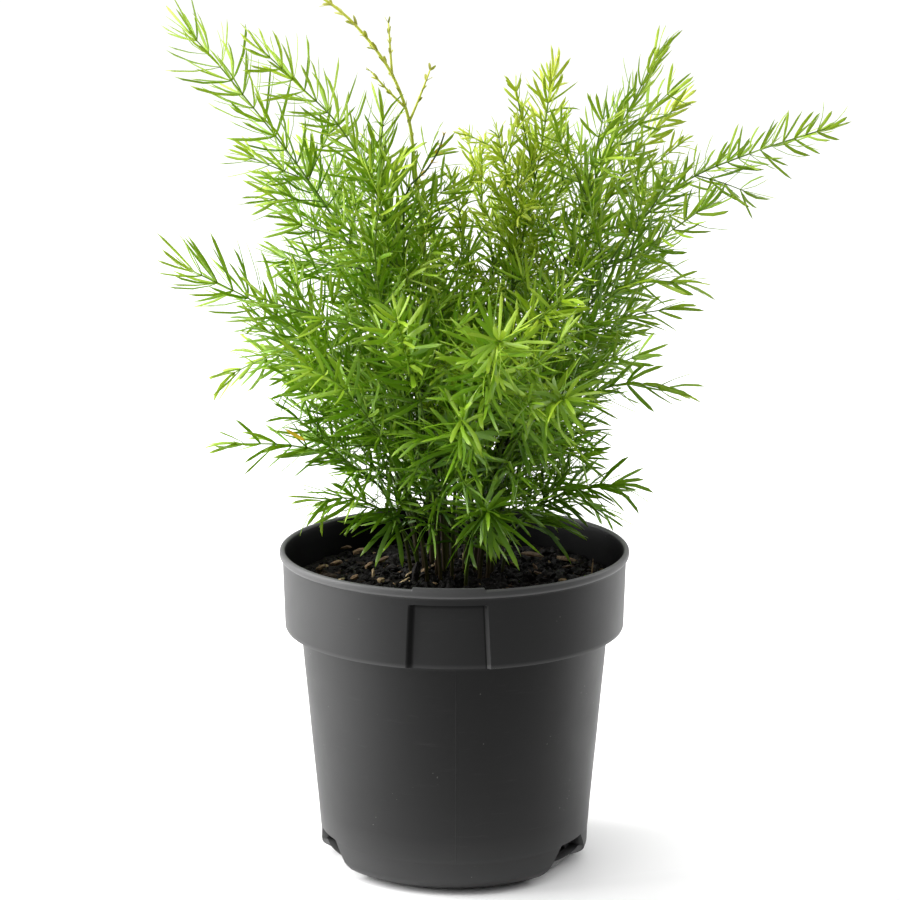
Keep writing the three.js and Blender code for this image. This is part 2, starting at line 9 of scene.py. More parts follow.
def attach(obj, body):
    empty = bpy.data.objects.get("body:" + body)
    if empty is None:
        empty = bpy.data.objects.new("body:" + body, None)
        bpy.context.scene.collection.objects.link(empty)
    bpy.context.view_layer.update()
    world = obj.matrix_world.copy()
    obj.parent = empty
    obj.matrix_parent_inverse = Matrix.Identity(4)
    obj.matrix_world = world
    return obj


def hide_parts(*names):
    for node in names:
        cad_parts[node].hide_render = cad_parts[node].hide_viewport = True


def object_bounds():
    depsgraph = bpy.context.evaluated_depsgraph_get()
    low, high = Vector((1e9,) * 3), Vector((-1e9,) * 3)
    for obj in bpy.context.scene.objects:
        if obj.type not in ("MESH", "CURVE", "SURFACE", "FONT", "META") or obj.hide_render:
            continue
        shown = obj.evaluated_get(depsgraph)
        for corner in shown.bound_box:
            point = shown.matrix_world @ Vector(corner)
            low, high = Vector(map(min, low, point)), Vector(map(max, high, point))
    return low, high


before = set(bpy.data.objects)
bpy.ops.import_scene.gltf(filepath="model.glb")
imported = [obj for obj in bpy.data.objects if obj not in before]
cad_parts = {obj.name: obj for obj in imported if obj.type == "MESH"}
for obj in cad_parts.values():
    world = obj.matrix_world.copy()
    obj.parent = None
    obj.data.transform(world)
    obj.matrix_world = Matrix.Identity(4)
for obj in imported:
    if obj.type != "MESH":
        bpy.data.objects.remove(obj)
cad_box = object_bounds()

# A foxtail fern (an asparagus with needle-like leaves) in its black nursery pot.
# Sizes below are in millimetres and are turned into metres when a mesh is made.
MM = 0.001
BODY = "root"
GAP = 0.3
FRONT = -90.0  # degrees, direction of -Y seen from above
GOLDEN_TURN = math.radians(137.5)
DEAD = 1.5  # the age past which a leaf is yellow; 0 is an old leaf and 1 a fresh one
OVERSHOOT = 5.0  # how far past the solids' box a needle may reach
LIMITS = np.array([list(corner) for corner in cad_box]) * 1000.0 + np.array([[-OVERSHOOT], [OVERSHOOT]])


# ---------------------------------------------------------------- mesh and node helpers


def place_object(name, data):
    item = bpy.data.objects.new(name, data)
    bpy.context.scene.collection.objects.link(item)
    return item


def new_piece(name, points, faces, nodes=(), smooth=True, attributes=None):
    """A mesh of points in mm, riding on the body, standing for nodes of the part."""
    mesh = bpy.data.meshes.new(name)
    mesh.from_pydata((np.asarray(points, dtype=float) * MM).tolist(), [], faces)
    mesh.validate()
    mesh.polygons.foreach_set("use_smooth", [smooth] * len(mesh.polygons))
    for key, values in (attributes or {}).items():
        layer = mesh.attributes.new(key, "FLOAT", "POINT")
        layer.data.foreach_set("value", np.asarray(values, dtype=np.float32))
    mesh.update()
    piece = place_object(name, mesh)
    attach(piece, BODY)
    if nodes:
        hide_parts(*nodes)
    return piece


def round_axis(radius, turn):
    """The place at a radius in a direction given in radians."""
    return radius * math.cos(turn), radius * math.sin(turn)


def ring_faces(rings, sides, first=0):
    """Faces between closed rings of points that follow each other from a first point on."""
    faces = []
    for low in range(first, first + (rings - 1) * sides, sides):
        for i in range(sides):
            j = (i + 1) % sides
            faces.append((low + i, low + j, low + sides + j, low + sides + i))
    return faces


def tube_faces(rings, sides):
    """Faces of a closed tube of rings of points."""
    last = (rings - 1) * sides
    return [*ring_faces(rings, sides), tuple(reversed(range(sides))), tuple(range(last, last + sides))]


def lathe_faces(rings, sides, falling=False):
    """Faces from a first point over rings of points round the axis to a last point. The rings rise
    where they lie on the outside, or fall."""
    top = 1 + (rings - 1) * sides
    faces = [(0, 1 + (i + 1) % sides, 1 + i) for i in range(sides)]
    faces += ring_faces(rings, sides, 1)
    faces += [(top + sides, top + i, top + (i + 1) % sides) for i in range(sides)]
    return [(face[0], *face[:0:-1]) for face in faces] if falling else faces


class Shader:
    """A short way to write the nodes of a material or of the world."""

    def __init__(self, owner, output="ShaderNodeOutputMaterial"):
        self.owner = owner
        owner.use_nodes = True
        self.nodes, self.links = owner.node_tree.nodes, owner.node_tree.links
        self.nodes.clear()
        self.output = self.add(output)

    def add(self, kind, inputs=None, **settings):
        node = self.nodes.new(kind)
        for key, value in settings.items():
            setattr(node, key, value)
        for key, value in (inputs or {}).items():
            self.put(node.inputs[key], value)
        return node

    def put(self, socket, value):
        if isinstance(value, bpy.types.NodeSocket):
            self.links.new(value, socket)
        else:
            socket.default_value = value

    def coords(self):
        return self.add("ShaderNodeTexCoord").outputs["Object"]

    def noise(self, scale, detail, rough=0.5, stretch=None):
        vector = self.coords()
        if stretch:
            vector = self.add("ShaderNodeMapping", {"Vector": vector, "Scale": stretch}).outputs[0]
        inputs = {"Vector": vector, "Scale": scale, "Detail": detail, "Roughness": rough}
        return self.add("ShaderNodeTexNoise", inputs).outputs["Fac"]

    def attribute(self, name):
        return self.add("ShaderNodeAttribute", attribute_name=name).outputs["Fac"]

    def math(self, operation, a, b):
        return self.add("ShaderNodeMath", {0: a, 1: b}, operation=operation).outputs[0]

    def ramp(self, value, stops):
        """Colours in display values, each at its place from 0 to 1."""
        node, stops = self.add("ShaderNodeValToRGB", {"Fac": value}), list(stops)
        while len(node.color_ramp.elements) < len(stops):
            node.color_ramp.elements.new(0.5)
        for element, (place, colour) in zip(node.color_ramp.elements, stops):
            element.position = place
            element.color = srgb(*colour)
        return node.outputs["Color"]

    def range(self, value, low, high, to_low, to_high):
        inputs = {"Value": value, 1: low, 2: high, 3: to_low, 4: to_high}
        return self.add("ShaderNodeMapRange", inputs).outputs[0]

    def mix(self, factor, a, b):
        return self.add("ShaderNodeMix", {0: factor, 6: a, 7: b}, data_type="RGBA").outputs[2]

    def principled(self, colour, rough, **more):
        inputs = {"Base Color": colour, "Roughness": rough}
        inputs.update({key.replace("_", " "): value for key, value in more.items()})
        return self.add("ShaderNodeBsdfPrincipled", inputs).outputs[0]

    def blend(self, factor, a, b):
        return self.add("ShaderNodeMixShader", {"Fac": factor, 1: a, 2: b}).outputs[0]

    def bump(self, height, strength, distance_mm, normal=None):
        inputs = {"Height": height, "Strength": strength, "Distance": distance_mm * MM}
        if normal:
            inputs["Normal"] = normal
        return self.add("ShaderNodeBump", inputs).outputs[0]

    def surface(self, shader):
        self.links.new(shader, self.output.inputs["Surface"])
        return self.owner


def srgb(red, green, blue):
    """A colour given in display values 0 to 255, as the shader's linear colour."""
    values = [c / 255 for c in (red, green, blue)]
    return (*[c / 12.92 if c <= 0.04045 else ((c + 0.055) / 1.055) ** 2.4 for c in values], 1.0)


# ---------------------------------------------------------------- materials


def pot_material():
    s = Shader(bpy.data.materials.new("pot_plastic"))
    grain = s.noise(900.0, 2.0)
    cloud = s.noise(28.0, 4.0, 0.6)
    scuff = s.noise(60.0, 5.0, 0.7, stretch=(1.0, 1.0, 9.0))
    base = s.mix(cloud, srgb(9, 9, 10), srgb(14, 14, 14))
    speck = s.add("ShaderNodeTexVoronoi", {"Vector": s.coords(), "Scale": 420.0}).outputs["Distance"]
    chosen = s.math("GREATER_THAN", s.noise(70.0, 1.0), 0.66)
    dust = s.math("MULTIPLY", s.math("LESS_THAN", speck, 0.1), chosen)
    colour = s.mix(s.math("MULTIPLY", dust, 0.25), base, srgb(150, 148, 142))
    scuffed = s.range(scuff, 0.6, 0.8, 0.0, 0.10)
    colour = s.mix(scuffed, colour, srgb(90, 90, 90))
    # Painted light: a lighter grey for a painted reflection of the white floor on the recess sills and the
    # foot, a painted highlight on the lip and painted light on the collar.
    colour = s.mix(s.attribute("painted_light"), colour, srgb(200, 200, 200))
    # Painted shade: inside the pot and along the top and the side corners of the label panel the plastic is
    # made darker and less glossy, where shadow would fall.
    colour = s.mix(s.math("MULTIPLY", s.attribute("painted_shade"), 0.65), colour, srgb(2, 2, 2))
    rough = s.range(cloud, 0.3, 0.7, 0.42, 0.50)
    rough = s.math("ADD", rough, s.math("MULTIPLY", scuffed, 0.5))
    normal = s.bump(grain, 0.12, 0.05)
    normal = s.bump(s.noise(45.0, 2.0), 0.25, 0.25, normal)
    glossy, painted_shade = (
        s.principled(colour, rough, Normal=normal, Specular_IOR_Level=gloss) for gloss in (0.36, 0.1)
    )
    return s.surface(s.blend(s.attribute("painted_shade"), glossy, painted_shade))


# From wet peat to pale wood, each at its place in the range of shades.
CHIP_COLOURS = [
    (0.0, (9, 8, 7)), (0.5, (24, 20, 17)), (0.72, (78, 62, 48)), (0.88, (136, 112, 84)),
    (1.0, (200, 178, 138)),
]
# The floor's painted shade in front of the pot: greys from where it starts to where it is full.
FLOOR_PAINTED_SHADE = ((0.0, 251), (0.2, 212), (0.3, 200), (0.42, 160), (1.0, 130))
PAINTED_SHADE_FROM, PAINTED_SHADE_TO = 0.055, 0.355  # metres
# Colours of the leaves from old to fresh and of the stems from foot to tip, with the places of the
# four in their ranges, by the kind of stem.
LEAF_PLACES, STEM_PLACES = (0.0, 0.2, 0.584, 1.0), (0.0, 0.22, 0.5, 1.0)
LEAF_COLOURS = {
    "mature": ((24, 54, 6), (52, 98, 8), (124, 170, 20), (186, 210, 56)),
    "young": ((58, 104, 10), (112, 156, 20), (174, 204, 38), (216, 224, 84)),
    "bare": ((140, 150, 46), (160, 166, 56), (186, 186, 76), (206, 204, 98)),
}
GREEN_STEM = ((58, 34, 29), (50, 44, 24), (78, 106, 32), (124, 156, 44))
YELLOW_STEM = ((62, 40, 30), (90, 104, 40), (186, 198, 78), (222, 224, 100))
STEM_COLOURS = {"mature": GREEN_STEM, "young": GREEN_STEM, "bare": YELLOW_STEM}
SLOTS = {"mature": "foliage_mature", "young": "foliage_young", "bare": "new_shoot"}


def soil_material():
    s = Shader(bpy.data.materials.new("potting_soil"))
    fine = s.noise(700.0, 4.0, 0.7)
    colour = s.ramp(s.attribute("chip"), CHIP_COLOURS)
    colour = s.mix(s.range(fine, 0.35, 0.7, 0.0, 0.7), colour, srgb(8, 7, 6))
    rough = s.range(fine, 0.3, 0.7, 0.5, 0.9)
    normal = s.bump(fine, 0.8, 0.6)
    return s.surface(s.principled(colour, rough, Normal=normal, Specular_IOR_Level=0.12))


def foliage_material(kind):
    """Needles and stems, from their age with painted shade low in the crown and painted light at its top,
    a tone of each needle's own, the share along it, and bark, which marks a stem and runs from its foot
    to its tip."""
    s = Shader(bpy.data.materials.new(SLOTS[kind]))
    age, tone, along, bark = (s.attribute(name) for name in ("age", "tone", "along", "bark"))
    patch = s.noise(55.0, 2.0)
    # The age mixed in here also carries painted shade low in the crown and painted light at its top.
    mixed = s.math("ADD", s.math("MULTIPLY", age, 0.62), s.math("MULTIPLY", tone, 0.34))
    mixed = s.math("ADD", mixed, s.math("MULTIPLY", patch, 0.10))
    mixed = s.range(mixed, -0.25, 1.0, 0.0, 1.0)
    leaf = s.ramp(mixed, zip(LEAF_PLACES, LEAF_COLOURS[kind]))
    tip = s.range(along, 0.7, 1.0, 0.0, 0.2)
    leaf = s.mix(tip, leaf, srgb(196, 206, 84))
    leaf = s.mix(s.math("GREATER_THAN", age, DEAD), leaf, srgb(222, 190, 30))
    stem = s.ramp(bark, zip(STEM_PLACES, STEM_COLOURS[kind]))
    is_stem = s.math("GREATER_THAN", bark, -0.5)
    colour = s.mix(is_stem, leaf, stem)
    streak = s.noise(900.0, 2.0, 0.5)
    rough = s.range(streak, 0.3, 0.7, 0.36, 0.46)
    front = s.principled(colour, rough, Normal=s.bump(streak, 0.15, 0.05))
    light_through = s.mix(0.3, colour, srgb(180, 214, 30))
    through = s.add("ShaderNodeBsdfTranslucent", {"Color": light_through}).outputs[0]
    return s.surface(s.blend(0.32, front, through))


def floor_material():
    """A white floor with painted shade that turns it grey in front of the pot and to its right."""
    s = Shader(bpy.data.materials.new("studio_floor"))
    cloud = s.noise(3.0, 2.0)
    colour = s.mix(cloud, srgb(248, 248, 248), srgb(251, 251, 251))
    spot = s.add("ShaderNodeSeparateXYZ", {"Vector": s.coords()})
    # Painted shade: the floor is grey ahead of the pot and to its right.
    ahead = s.math("SUBTRACT", s.math("MULTIPLY", spot.outputs["X"], 0.35), spot.outputs["Y"])
    full = s.range(ahead, PAINTED_SHADE_FROM, PAINTED_SHADE_TO, 0.0, 1.0)
    shade = s.ramp(full, [(place, (grey, grey, grey)) for place, grey in FLOOR_PAINTED_SHADE])
    colour = s.mix(s.math("GREATER_THAN", ahead, PAINTED_SHADE_FROM), colour, shade)
    return s.surface(s.principled(colour, 0.6))


# ---------------------------------------------------------------- pot

POT_SIDES = 288
POT_CREASE = 38  # degrees
RIM_HEIGHT = 134.6
LIP_RADIUS = 73.4
COLLAR_BOTTOM = 101.0
WALL_TOP_RADIUS = 64.8
WALL = 1.6
FLOOR = 2.2
PANEL = {"centre": FRONT - 2.15, "width": 34.2, "radius": 69.5, "top": 128.0}
PANEL_LEAN = 1.2  # degrees that each side leans in over the panel's height
PANEL_BEVELS = (2.1, 1.1)  # degrees over which its left and right side slope
PANEL_HALF = math.degrees(PANEL["width"] / 2 / PANEL["radius"])
LIP_TAB = {"centre": FRONT - 1.9, "width": 32.2, "rise": 0.9, "inner": 71.0}
TAB_HALF = math.degrees(LIP_TAB["width"] / 2 / LIP_RADIUS)
RECESSES = [PANEL["centre"] + turn for turn in (63, 115, 245, 292)]
RECESS_SPREAD = 17.0  # at its top, in degrees
RECESS_FLARE = 0.92  # degrees that each side leans out per mm down
RECESS_REACH = 23.4  # how far round the foot its flare moves the mesh lines
RECESS_RADIUS = 50.5
RECESS_TOP = 14.2
RECESS_SILL = 7.5
RECESS_BACK = ((0.0, 46.6), (7.3, 54.2), (7.7, 50.5))  # height and radius of a recess's back
SLOT = {"width": 11.0, "low": 7.9, "high": 12.6}
SEAM, SEAM_HEIGHT = FRONT + 0.6, 0.09
# How much lighter grey the outside is painted, as painted light: a painted reflection of the white floor on
# the recess sills and the foot, a painted highlight on the lip and its side, and painted light on the
# collar.
PAINTED_LIGHT = {"sill": 0.42, "foot": 0.045, "collar edge": 0.06, "collar": 0.021, "lip side": 0.11, "lip": 0.16}

# The pot's section as radius and height, from the middle of the underside up the outside, over the
# lip and down the inside to the middle of the floor.
POT_OUTSIDE = [
    (0.0, 0.0), (20.0, 0.0), (40.0, 0.0), (45.4, 0.0), (46.8, 0.25), (50.2, 1.1), (53.2, 2.6),
    (55.0, 3.9), (56.0, 5.1), (56.5, 6.4), (56.62, 7.3), (56.65, 7.7), (56.7, 9.5), (56.75, 11.5),
    (56.8, 13.6), (56.82, 14.15), (56.95, 14.5), (57.1, 16.0), (57.8, 25.0), (59.2, 40.0),
    (60.6, 55.0), (61.9, 70.0), (63.3, 85.0), (64.5, 98.5),
    (64.7, 100.3), (65.1, 100.85), (65.7, 101.0), (70.3, 101.0), (70.95, 101.2), (71.2, 101.7),
    (71.3, 103.0), (71.5, 110.0), (71.8, 119.0), (72.0, 126.0), (72.05, 127.5), (72.07, 128.1),
    (72.1, 129.6), (72.12, 130.0), (72.15, 130.6), (72.35, 131.0), (72.9, 131.25), (73.25, 131.7),
    (73.4, 132.4), (73.4, 133.4), (73.25, 134.0), (72.85, 134.45), (72.3, 134.6),
]
POT_INSIDE = [
    (71.7, 134.5), (71.3, 134.2), (71.0, 133.4), (70.7, 131.5), (70.4, 128.2), (70.35, 127.5),
    (70.0, 118.0), (69.7, 108.0), (69.6, 104.2), (69.2, 103.4), (68.6, 103.1), (64.0, 102.1),
    (63.4, 101.8), (63.1, 101.0), (61.0, 76.0), (58.7, 50.0), (56.3, 24.0), (55.5, 16.2),
    (55.35, 15.7), (54.9, 13.4), (54.2, 6.6), (50.4, 3.1), (45.5, 2.3), (40.0, 2.2), (20.0, 2.2),
    (0.0, 2.2),
]


def soft_window(angle, centre, half, soft):
    """1 within half degrees of the centre, 0 beyond, with a soft edge."""
    away = abs(turn_from(centre, angle))
    share = min(max((half + soft - away) / (2 * soft), 0.0), 1.0)
    return share * share * (3 - 2 * share)


def bevelled_window(angle, centre, half, left, right):
    """1 within half degrees of the centre less the bevels at its two sides, 0 beyond them."""
    away = turn_from(centre, angle)
    share = min((half + away) / left, (half - away) / right)
    return min(max(share, 0.0), 1.0)


def arc_degrees(length, radius):
    return math.degrees(length / radius)


def turn_from(centre, angle):
    return (angle - centre + 180.0) % 360.0 - 180.0


def leaned(angle, height):
    """The direction of a mesh line at a height: the sides of the panel lean together towards its top,
    and those of the foot recesses lean apart towards the ground."""
    away = turn_from(PANEL["centre"], angle)
    near = max(1.0 - abs(abs(away) - PANEL_HALF) / 10.0, 0.0)
    share = min(max((height - COLLAR_BOTTOM) / (PANEL["top"] - COLLAR_BOTTOM), 0.0), 1.0)
    angle -= math.copysign(PANEL_LEAN * near * share, away)
    half = RECESS_SPREAD / 2
    wide = half + RECESS_FLARE * max(RECESS_TOP - height, 0.0)
    for centre in RECESSES:
        away = turn_from(centre, angle)
        if abs(away) < RECESS_REACH:
            moved = np.interp(abs(away), (0, half, RECESS_REACH), (0, wide, RECESS_REACH))
            return centre + math.copysign(moved, away)
    return angle


def pressed(radius, height, angle, grow):
    """The radius of a pot wall where the panel, the lip tab and the foot recesses shape it."""
    if radius > 60 and COLLAR_BOTTOM - 1.5 < height < PANEL["top"] - 0.2:
        half = arc_degrees(PANEL["width"] / 2 + grow, PANEL["radius"])
        share = bevelled_window(angle, PANEL["centre"], half, *PANEL_BEVELS)
        if radius > PANEL["radius"] - grow:
            radius += share * (PANEL["radius"] - grow - radius)
    back = float(np.interp(height, *zip(*RECESS_BACK)))
    if grow:
        back = min(back, RECESS_RADIUS) - grow
    if height < RECESS_TOP + grow and radius > back:
        for centre in RECESSES:
            half = RECESS_SPREAD / 2 + arc_degrees(grow, RECESS_RADIUS)
            share = soft_window(angle, centre, half, 0.4)
            radius += share * (back - radius)
    if not grow:
        ridge = soft_window(angle, SEAM, 0.12, 0.12) + soft_window(angle, SEAM + 180, 0.12, 0.12)
        radius += SEAM_HEIGHT * ridge * (14 < height < 100)
    return radius


def painted_light_at(radius, height, shaped):
    """Painted light on the pot's outside: most on the sills of its foot recesses and on its lip."""
    # The sills and the foot get a painted reflection of the white floor, lighter towards the ground; the
    # lip a painted highlight; the collar painted light.
    if height < RECESS_SILL:
        return PAINTED_LIGHT["sill"] - 0.04 * height if shaped < radius - 0.5 else PAINTED_LIGHT["foot"]
    if height > RIM_HEIGHT - 3.5:
        return PAINTED_LIGHT["lip"] if height < RIM_HEIGHT - 2.5 else PAINTED_LIGHT["lip side"]
    if height > COLLAR_BOTTOM + 0.8:
        return PAINTED_LIGHT["collar"]
    if height > COLLAR_BOTTOM:
        return PAINTED_LIGHT["collar edge"]
    return max(PAINTED_LIGHT["foot"] - 0.0022 * (height - RECESS_SILL), 0.0)


def painted_panel_shade(angle, height):
    """Painted shade along the top and in the side corners of the label panel: darker, less glossy plastic.
    """
    if not COLLAR_BOTTOM < height < PANEL["top"]:
        return 0.0
    away = turn_from(PANEL["centre"], angle)
    if height > PANEL["top"] - 0.6 and abs(away) < PANEL_HALF - 0.3:
        return 0.9
    left = max(1 - abs(away + PANEL_HALF - 1.1) / 1.3, 0.0)
    right = max(1 - abs(away - PANEL_HALF + 1.3) / 0.4, 0.0)
    return min(1.5 * left + 0.9 * right, 1.0)


def pot_angles():
    """Directions of the pot's mesh lines, closer together at the edges of what is pressed in."""
    angles = {round(360 * i / POT_SIDES, 3) for i in range(POT_SIDES)}
    grown_half = arc_degrees(PANEL["width"] / 2 + WALL, PANEL["radius"])
    recess_grown = RECESS_SPREAD / 2 + arc_degrees(WALL, RECESS_RADIUS)
    edges = [(PANEL["centre"], PANEL_HALF), (PANEL["centre"], grown_half), (LIP_TAB["centre"], TAB_HALF)]
    edges += [(centre, half) for centre in RECESSES for half in (RECESS_SPREAD / 2, recess_grown)]
    edges += [(SEAM, 0.0), (SEAM + 180, 0.0)]
    left, right = PANEL["centre"] - PANEL_HALF, PANEL["centre"] + PANEL_HALF
    angles |= {round((left + step) % 360, 3) for step in (0.7, 1.4, 2.1)}
    angles |= {round((right - step) % 360, 3) for step in (0.55, 1.1)}
    for centre, half in edges:
        for side in (-1, 1):
            for step in (-0.5, -0.3, -0.15, 0.0, 0.15, 0.3, 0.5):
                angles.add(round((centre + side * half + step) % 360, 3))
    return sorted(angles)


def make_pot(material):
    angles = pot_angles()
    profile = [(r, z, 0.0) for r, z in POT_OUTSIDE] + [(r, z, WALL) for r, z in POT_INSIDE]
    points, painted_shade, painted_light = [(0.0, 0.0, 0.0)], [0.0], [0.0]
    for radius, height, grow in profile[1:-1]:
        for angle in angles:
            shaped = pressed(radius, height, angle, grow)
            # Painted shade inside the pot and round the label panel; painted light on the sills, foot,
            # collar and lip outside.
            is_inside = grow > 0 and height < RIM_HEIGHT - 1
            painted_shade.append(1.0 if is_inside else painted_panel_shade(angle, height))
            painted_light.append(0.0 if is_inside else painted_light_at(radius, height, shaped))
            turn = math.radians(leaned(angle, height))
            top = height
            if height > RIM_HEIGHT - 0.45 and radius > LIP_TAB["inner"]:
                top += LIP_TAB["rise"] * soft_window(angle, LIP_TAB["centre"], TAB_HALF, 0.2)
            points.append((*round_axis(shaped, turn), top))
    points.append((0.0, 0.0, FLOOR))
    shades = {"painted_shade": painted_shade + [1.0], "painted_light": painted_light + [0.0]}
    faces = lathe_faces(len(profile) - 2, len(angles))
    pot = new_piece("nursery_pot", points, faces, ["pot"], True, shades)
    cut_slots(pot)
    pot.data.materials.append(material)
    sharpen(pot, POT_CREASE)


def cut_slots(pot):
    """The drain slot through the back of each foot recess."""
    cutters = bmesh.new()
    half = arc_degrees(SLOT["width"] / 2, RECESS_RADIUS)
    for centre in RECESSES:
        ring = []
        for radius in (RECESS_RADIUS - 4 * WALL, RECESS_RADIUS + 4):
            for height in (SLOT["low"], SLOT["high"]):
                for angle in (centre - half, centre + half):
                    place = Vector((*round_axis(radius, math.radians(angle)), height)) * MM
                    ring.append(cutters.verts.new(place))
        a, b, c, d, e, f, g, h = ring
        for face in ((a, b, d, c), (e, g, h, f), (a, e, f, b), (c, d, h, g), (a, c, g, e), (b, f, h, d)):
            cutters.faces.new(face)
    bmesh.ops.recalc_face_normals(cutters, faces=cutters.faces)
    mesh = bpy.data.meshes.new("slot_cutters")
    cutters.to_mesh(mesh)
    cutters.free()
    cutter = place_object("slot_cutters", mesh)
    cut = pot.modifiers.new("slots", "BOOLEAN")
    cut.operation = "DIFFERENCE"
    cut.solver = "EXACT"
    cut.object = cutter
    apply_modifiers(pot)
    bpy.data.objects.remove(cutter)


def apply_modifiers(piece):
    shaped = bpy.data.meshes.new_from_object(piece.evaluated_get(bpy.context.evaluated_depsgraph_get()))
    piece.modifiers.clear()
    piece.data = shaped


def sharpen(piece, degrees):
    """Smooth shading with hard edges where faces meet at more than an angle."""
    mesh = piece.data
    mesh.polygons.foreach_set("use_smooth", [True] * len(mesh.polygons))
    mesh.set_sharp_from_angle(angle=math.radians(degrees))


# ---------------------------------------------------------------- leafy stems

STEM_RADIUS = {"mature": (1.0, 0.3), "young": (1.0, 0.35), "bare": (1.2, 0.6)}
TWIG_RADIUS = (0.45, 0.25)
BARE_TWIG_RADIUS = (0.6, 0.35)
BROWN_SHOOT_RADIUS = (0.5, 0.35)
STEM_SIDES, TWIG_SIDES, TWIG_RINGS, BARE_TWIG_RINGS = 8, 5, 9, 6
STEM_STEP = 27.0
TWIG_SPACING = 27.0
CAD_STEM_RADIUS = 1.4
CAD_TWIG_RADIUS = 0.6
SOIL_LEVEL = 119.0
NEEDLE_THICKNESS = 0.32
# Spans of a stem, as a share of its length with the least and the most in mm: the leafy run at its
# tip, the foot without twigs, where the twigs between the regular ones start, and how far twigs reach.
LEAFY_RUN = (0.36, 45.0, 95.0)
BARE_FOOT = (0.24, 36.0)
FILLERS_FROM = (0.2, 34.0)
TWIG_REACH = (0.21, 25.0, 54.0)
FILLER_REACH = (0.2, 26.0, 50.0)
# Sizes and turns in degrees round the stem that a twig is tried at until one is clear.
TWIG_SIZES = (1, 0.75, 0.55)
TWIG_SWINGS = (0, 35, -35, 70, -70, 110, -110, 150, -150)
SIDE_SHOOT_SIZES = (1, 0.85, 0.7, 0.55, 0.4)
BLADE_SHAPE = [(0.0, 0.4), (0.16, 0.82), (0.5, 1.0), (0.84, 0.86), (1.0, 0.1)]
# How needles stand in clusters: spacing of the clusters, needles in each, their length and width,
# and how far they open from the stem in degrees.
TWIG_NEEDLES = {"mature": (6.5, 3, 18.5, 1.35, 50), "young": (4.6, 4, 10.0, 1.05, 42)}
RUN_NEEDLES = {
    "mature": (6.5, 4, 19.0, 1.6, 52),
    1: (7.2, 8, 22.5, 1.2, 58),
    2: (6.4, 8, 20.5, 1.25, 54),
    5: (5.0, 5, 20.0, 1.7, 58),
    6: (7.0, 7, 25.0, 1.3, 58),
    9: (5.5, 5, 20.0, 1.6, 54),
    10: (4.0, 6, 17.0, 1.4, 54),
    11: (6.0, 5, 16.5, 1.3, 42),
    12: (4.8, 5, 15.5, 1.35, 58),
    13: (4.8, 5, 14.0, 1.4, 44),
    17: (5.0, 6, 20.0, 1.6, 56),
    19: (4.6, 6, 25.0, 2.0, 70),
    20: (5.0, 6, 23.0, 1.9, 66),
    21: (5.0, 5, 21.0, 1.7, 60),
    22: (5.0, 5, 23.0, 1.9, 64),
    23: (4.5, 5, 21.0, 2.0, 66),
    24: (5.2, 5, 22.0, 1.9, 64),
    25: (6.0, 5, 20.0, 1.7, 60),
    26: (4.4, 4, 8.0, 1.0, 48),
}
# Twigs between the regular ones: their spacing, by stem number, where not the usual one.
FILLER_SPACING = {
    6: 16, 7: 40, 8: 50, 9: 60, 12: 13, 14: 14, 15: 24, 16: 30, 17: 50, 18: 60, 19: 24, 20: 24, 21: 24,
    22: 28, 23: 60, 24: 26, 25: 70, 30: 80, 31: 40, 32: 50,
}
USUAL_FILLER_SPACING = 10.5
LONG_TWIG = 45.0
SMALL_TWIG_SPACING = 14.0

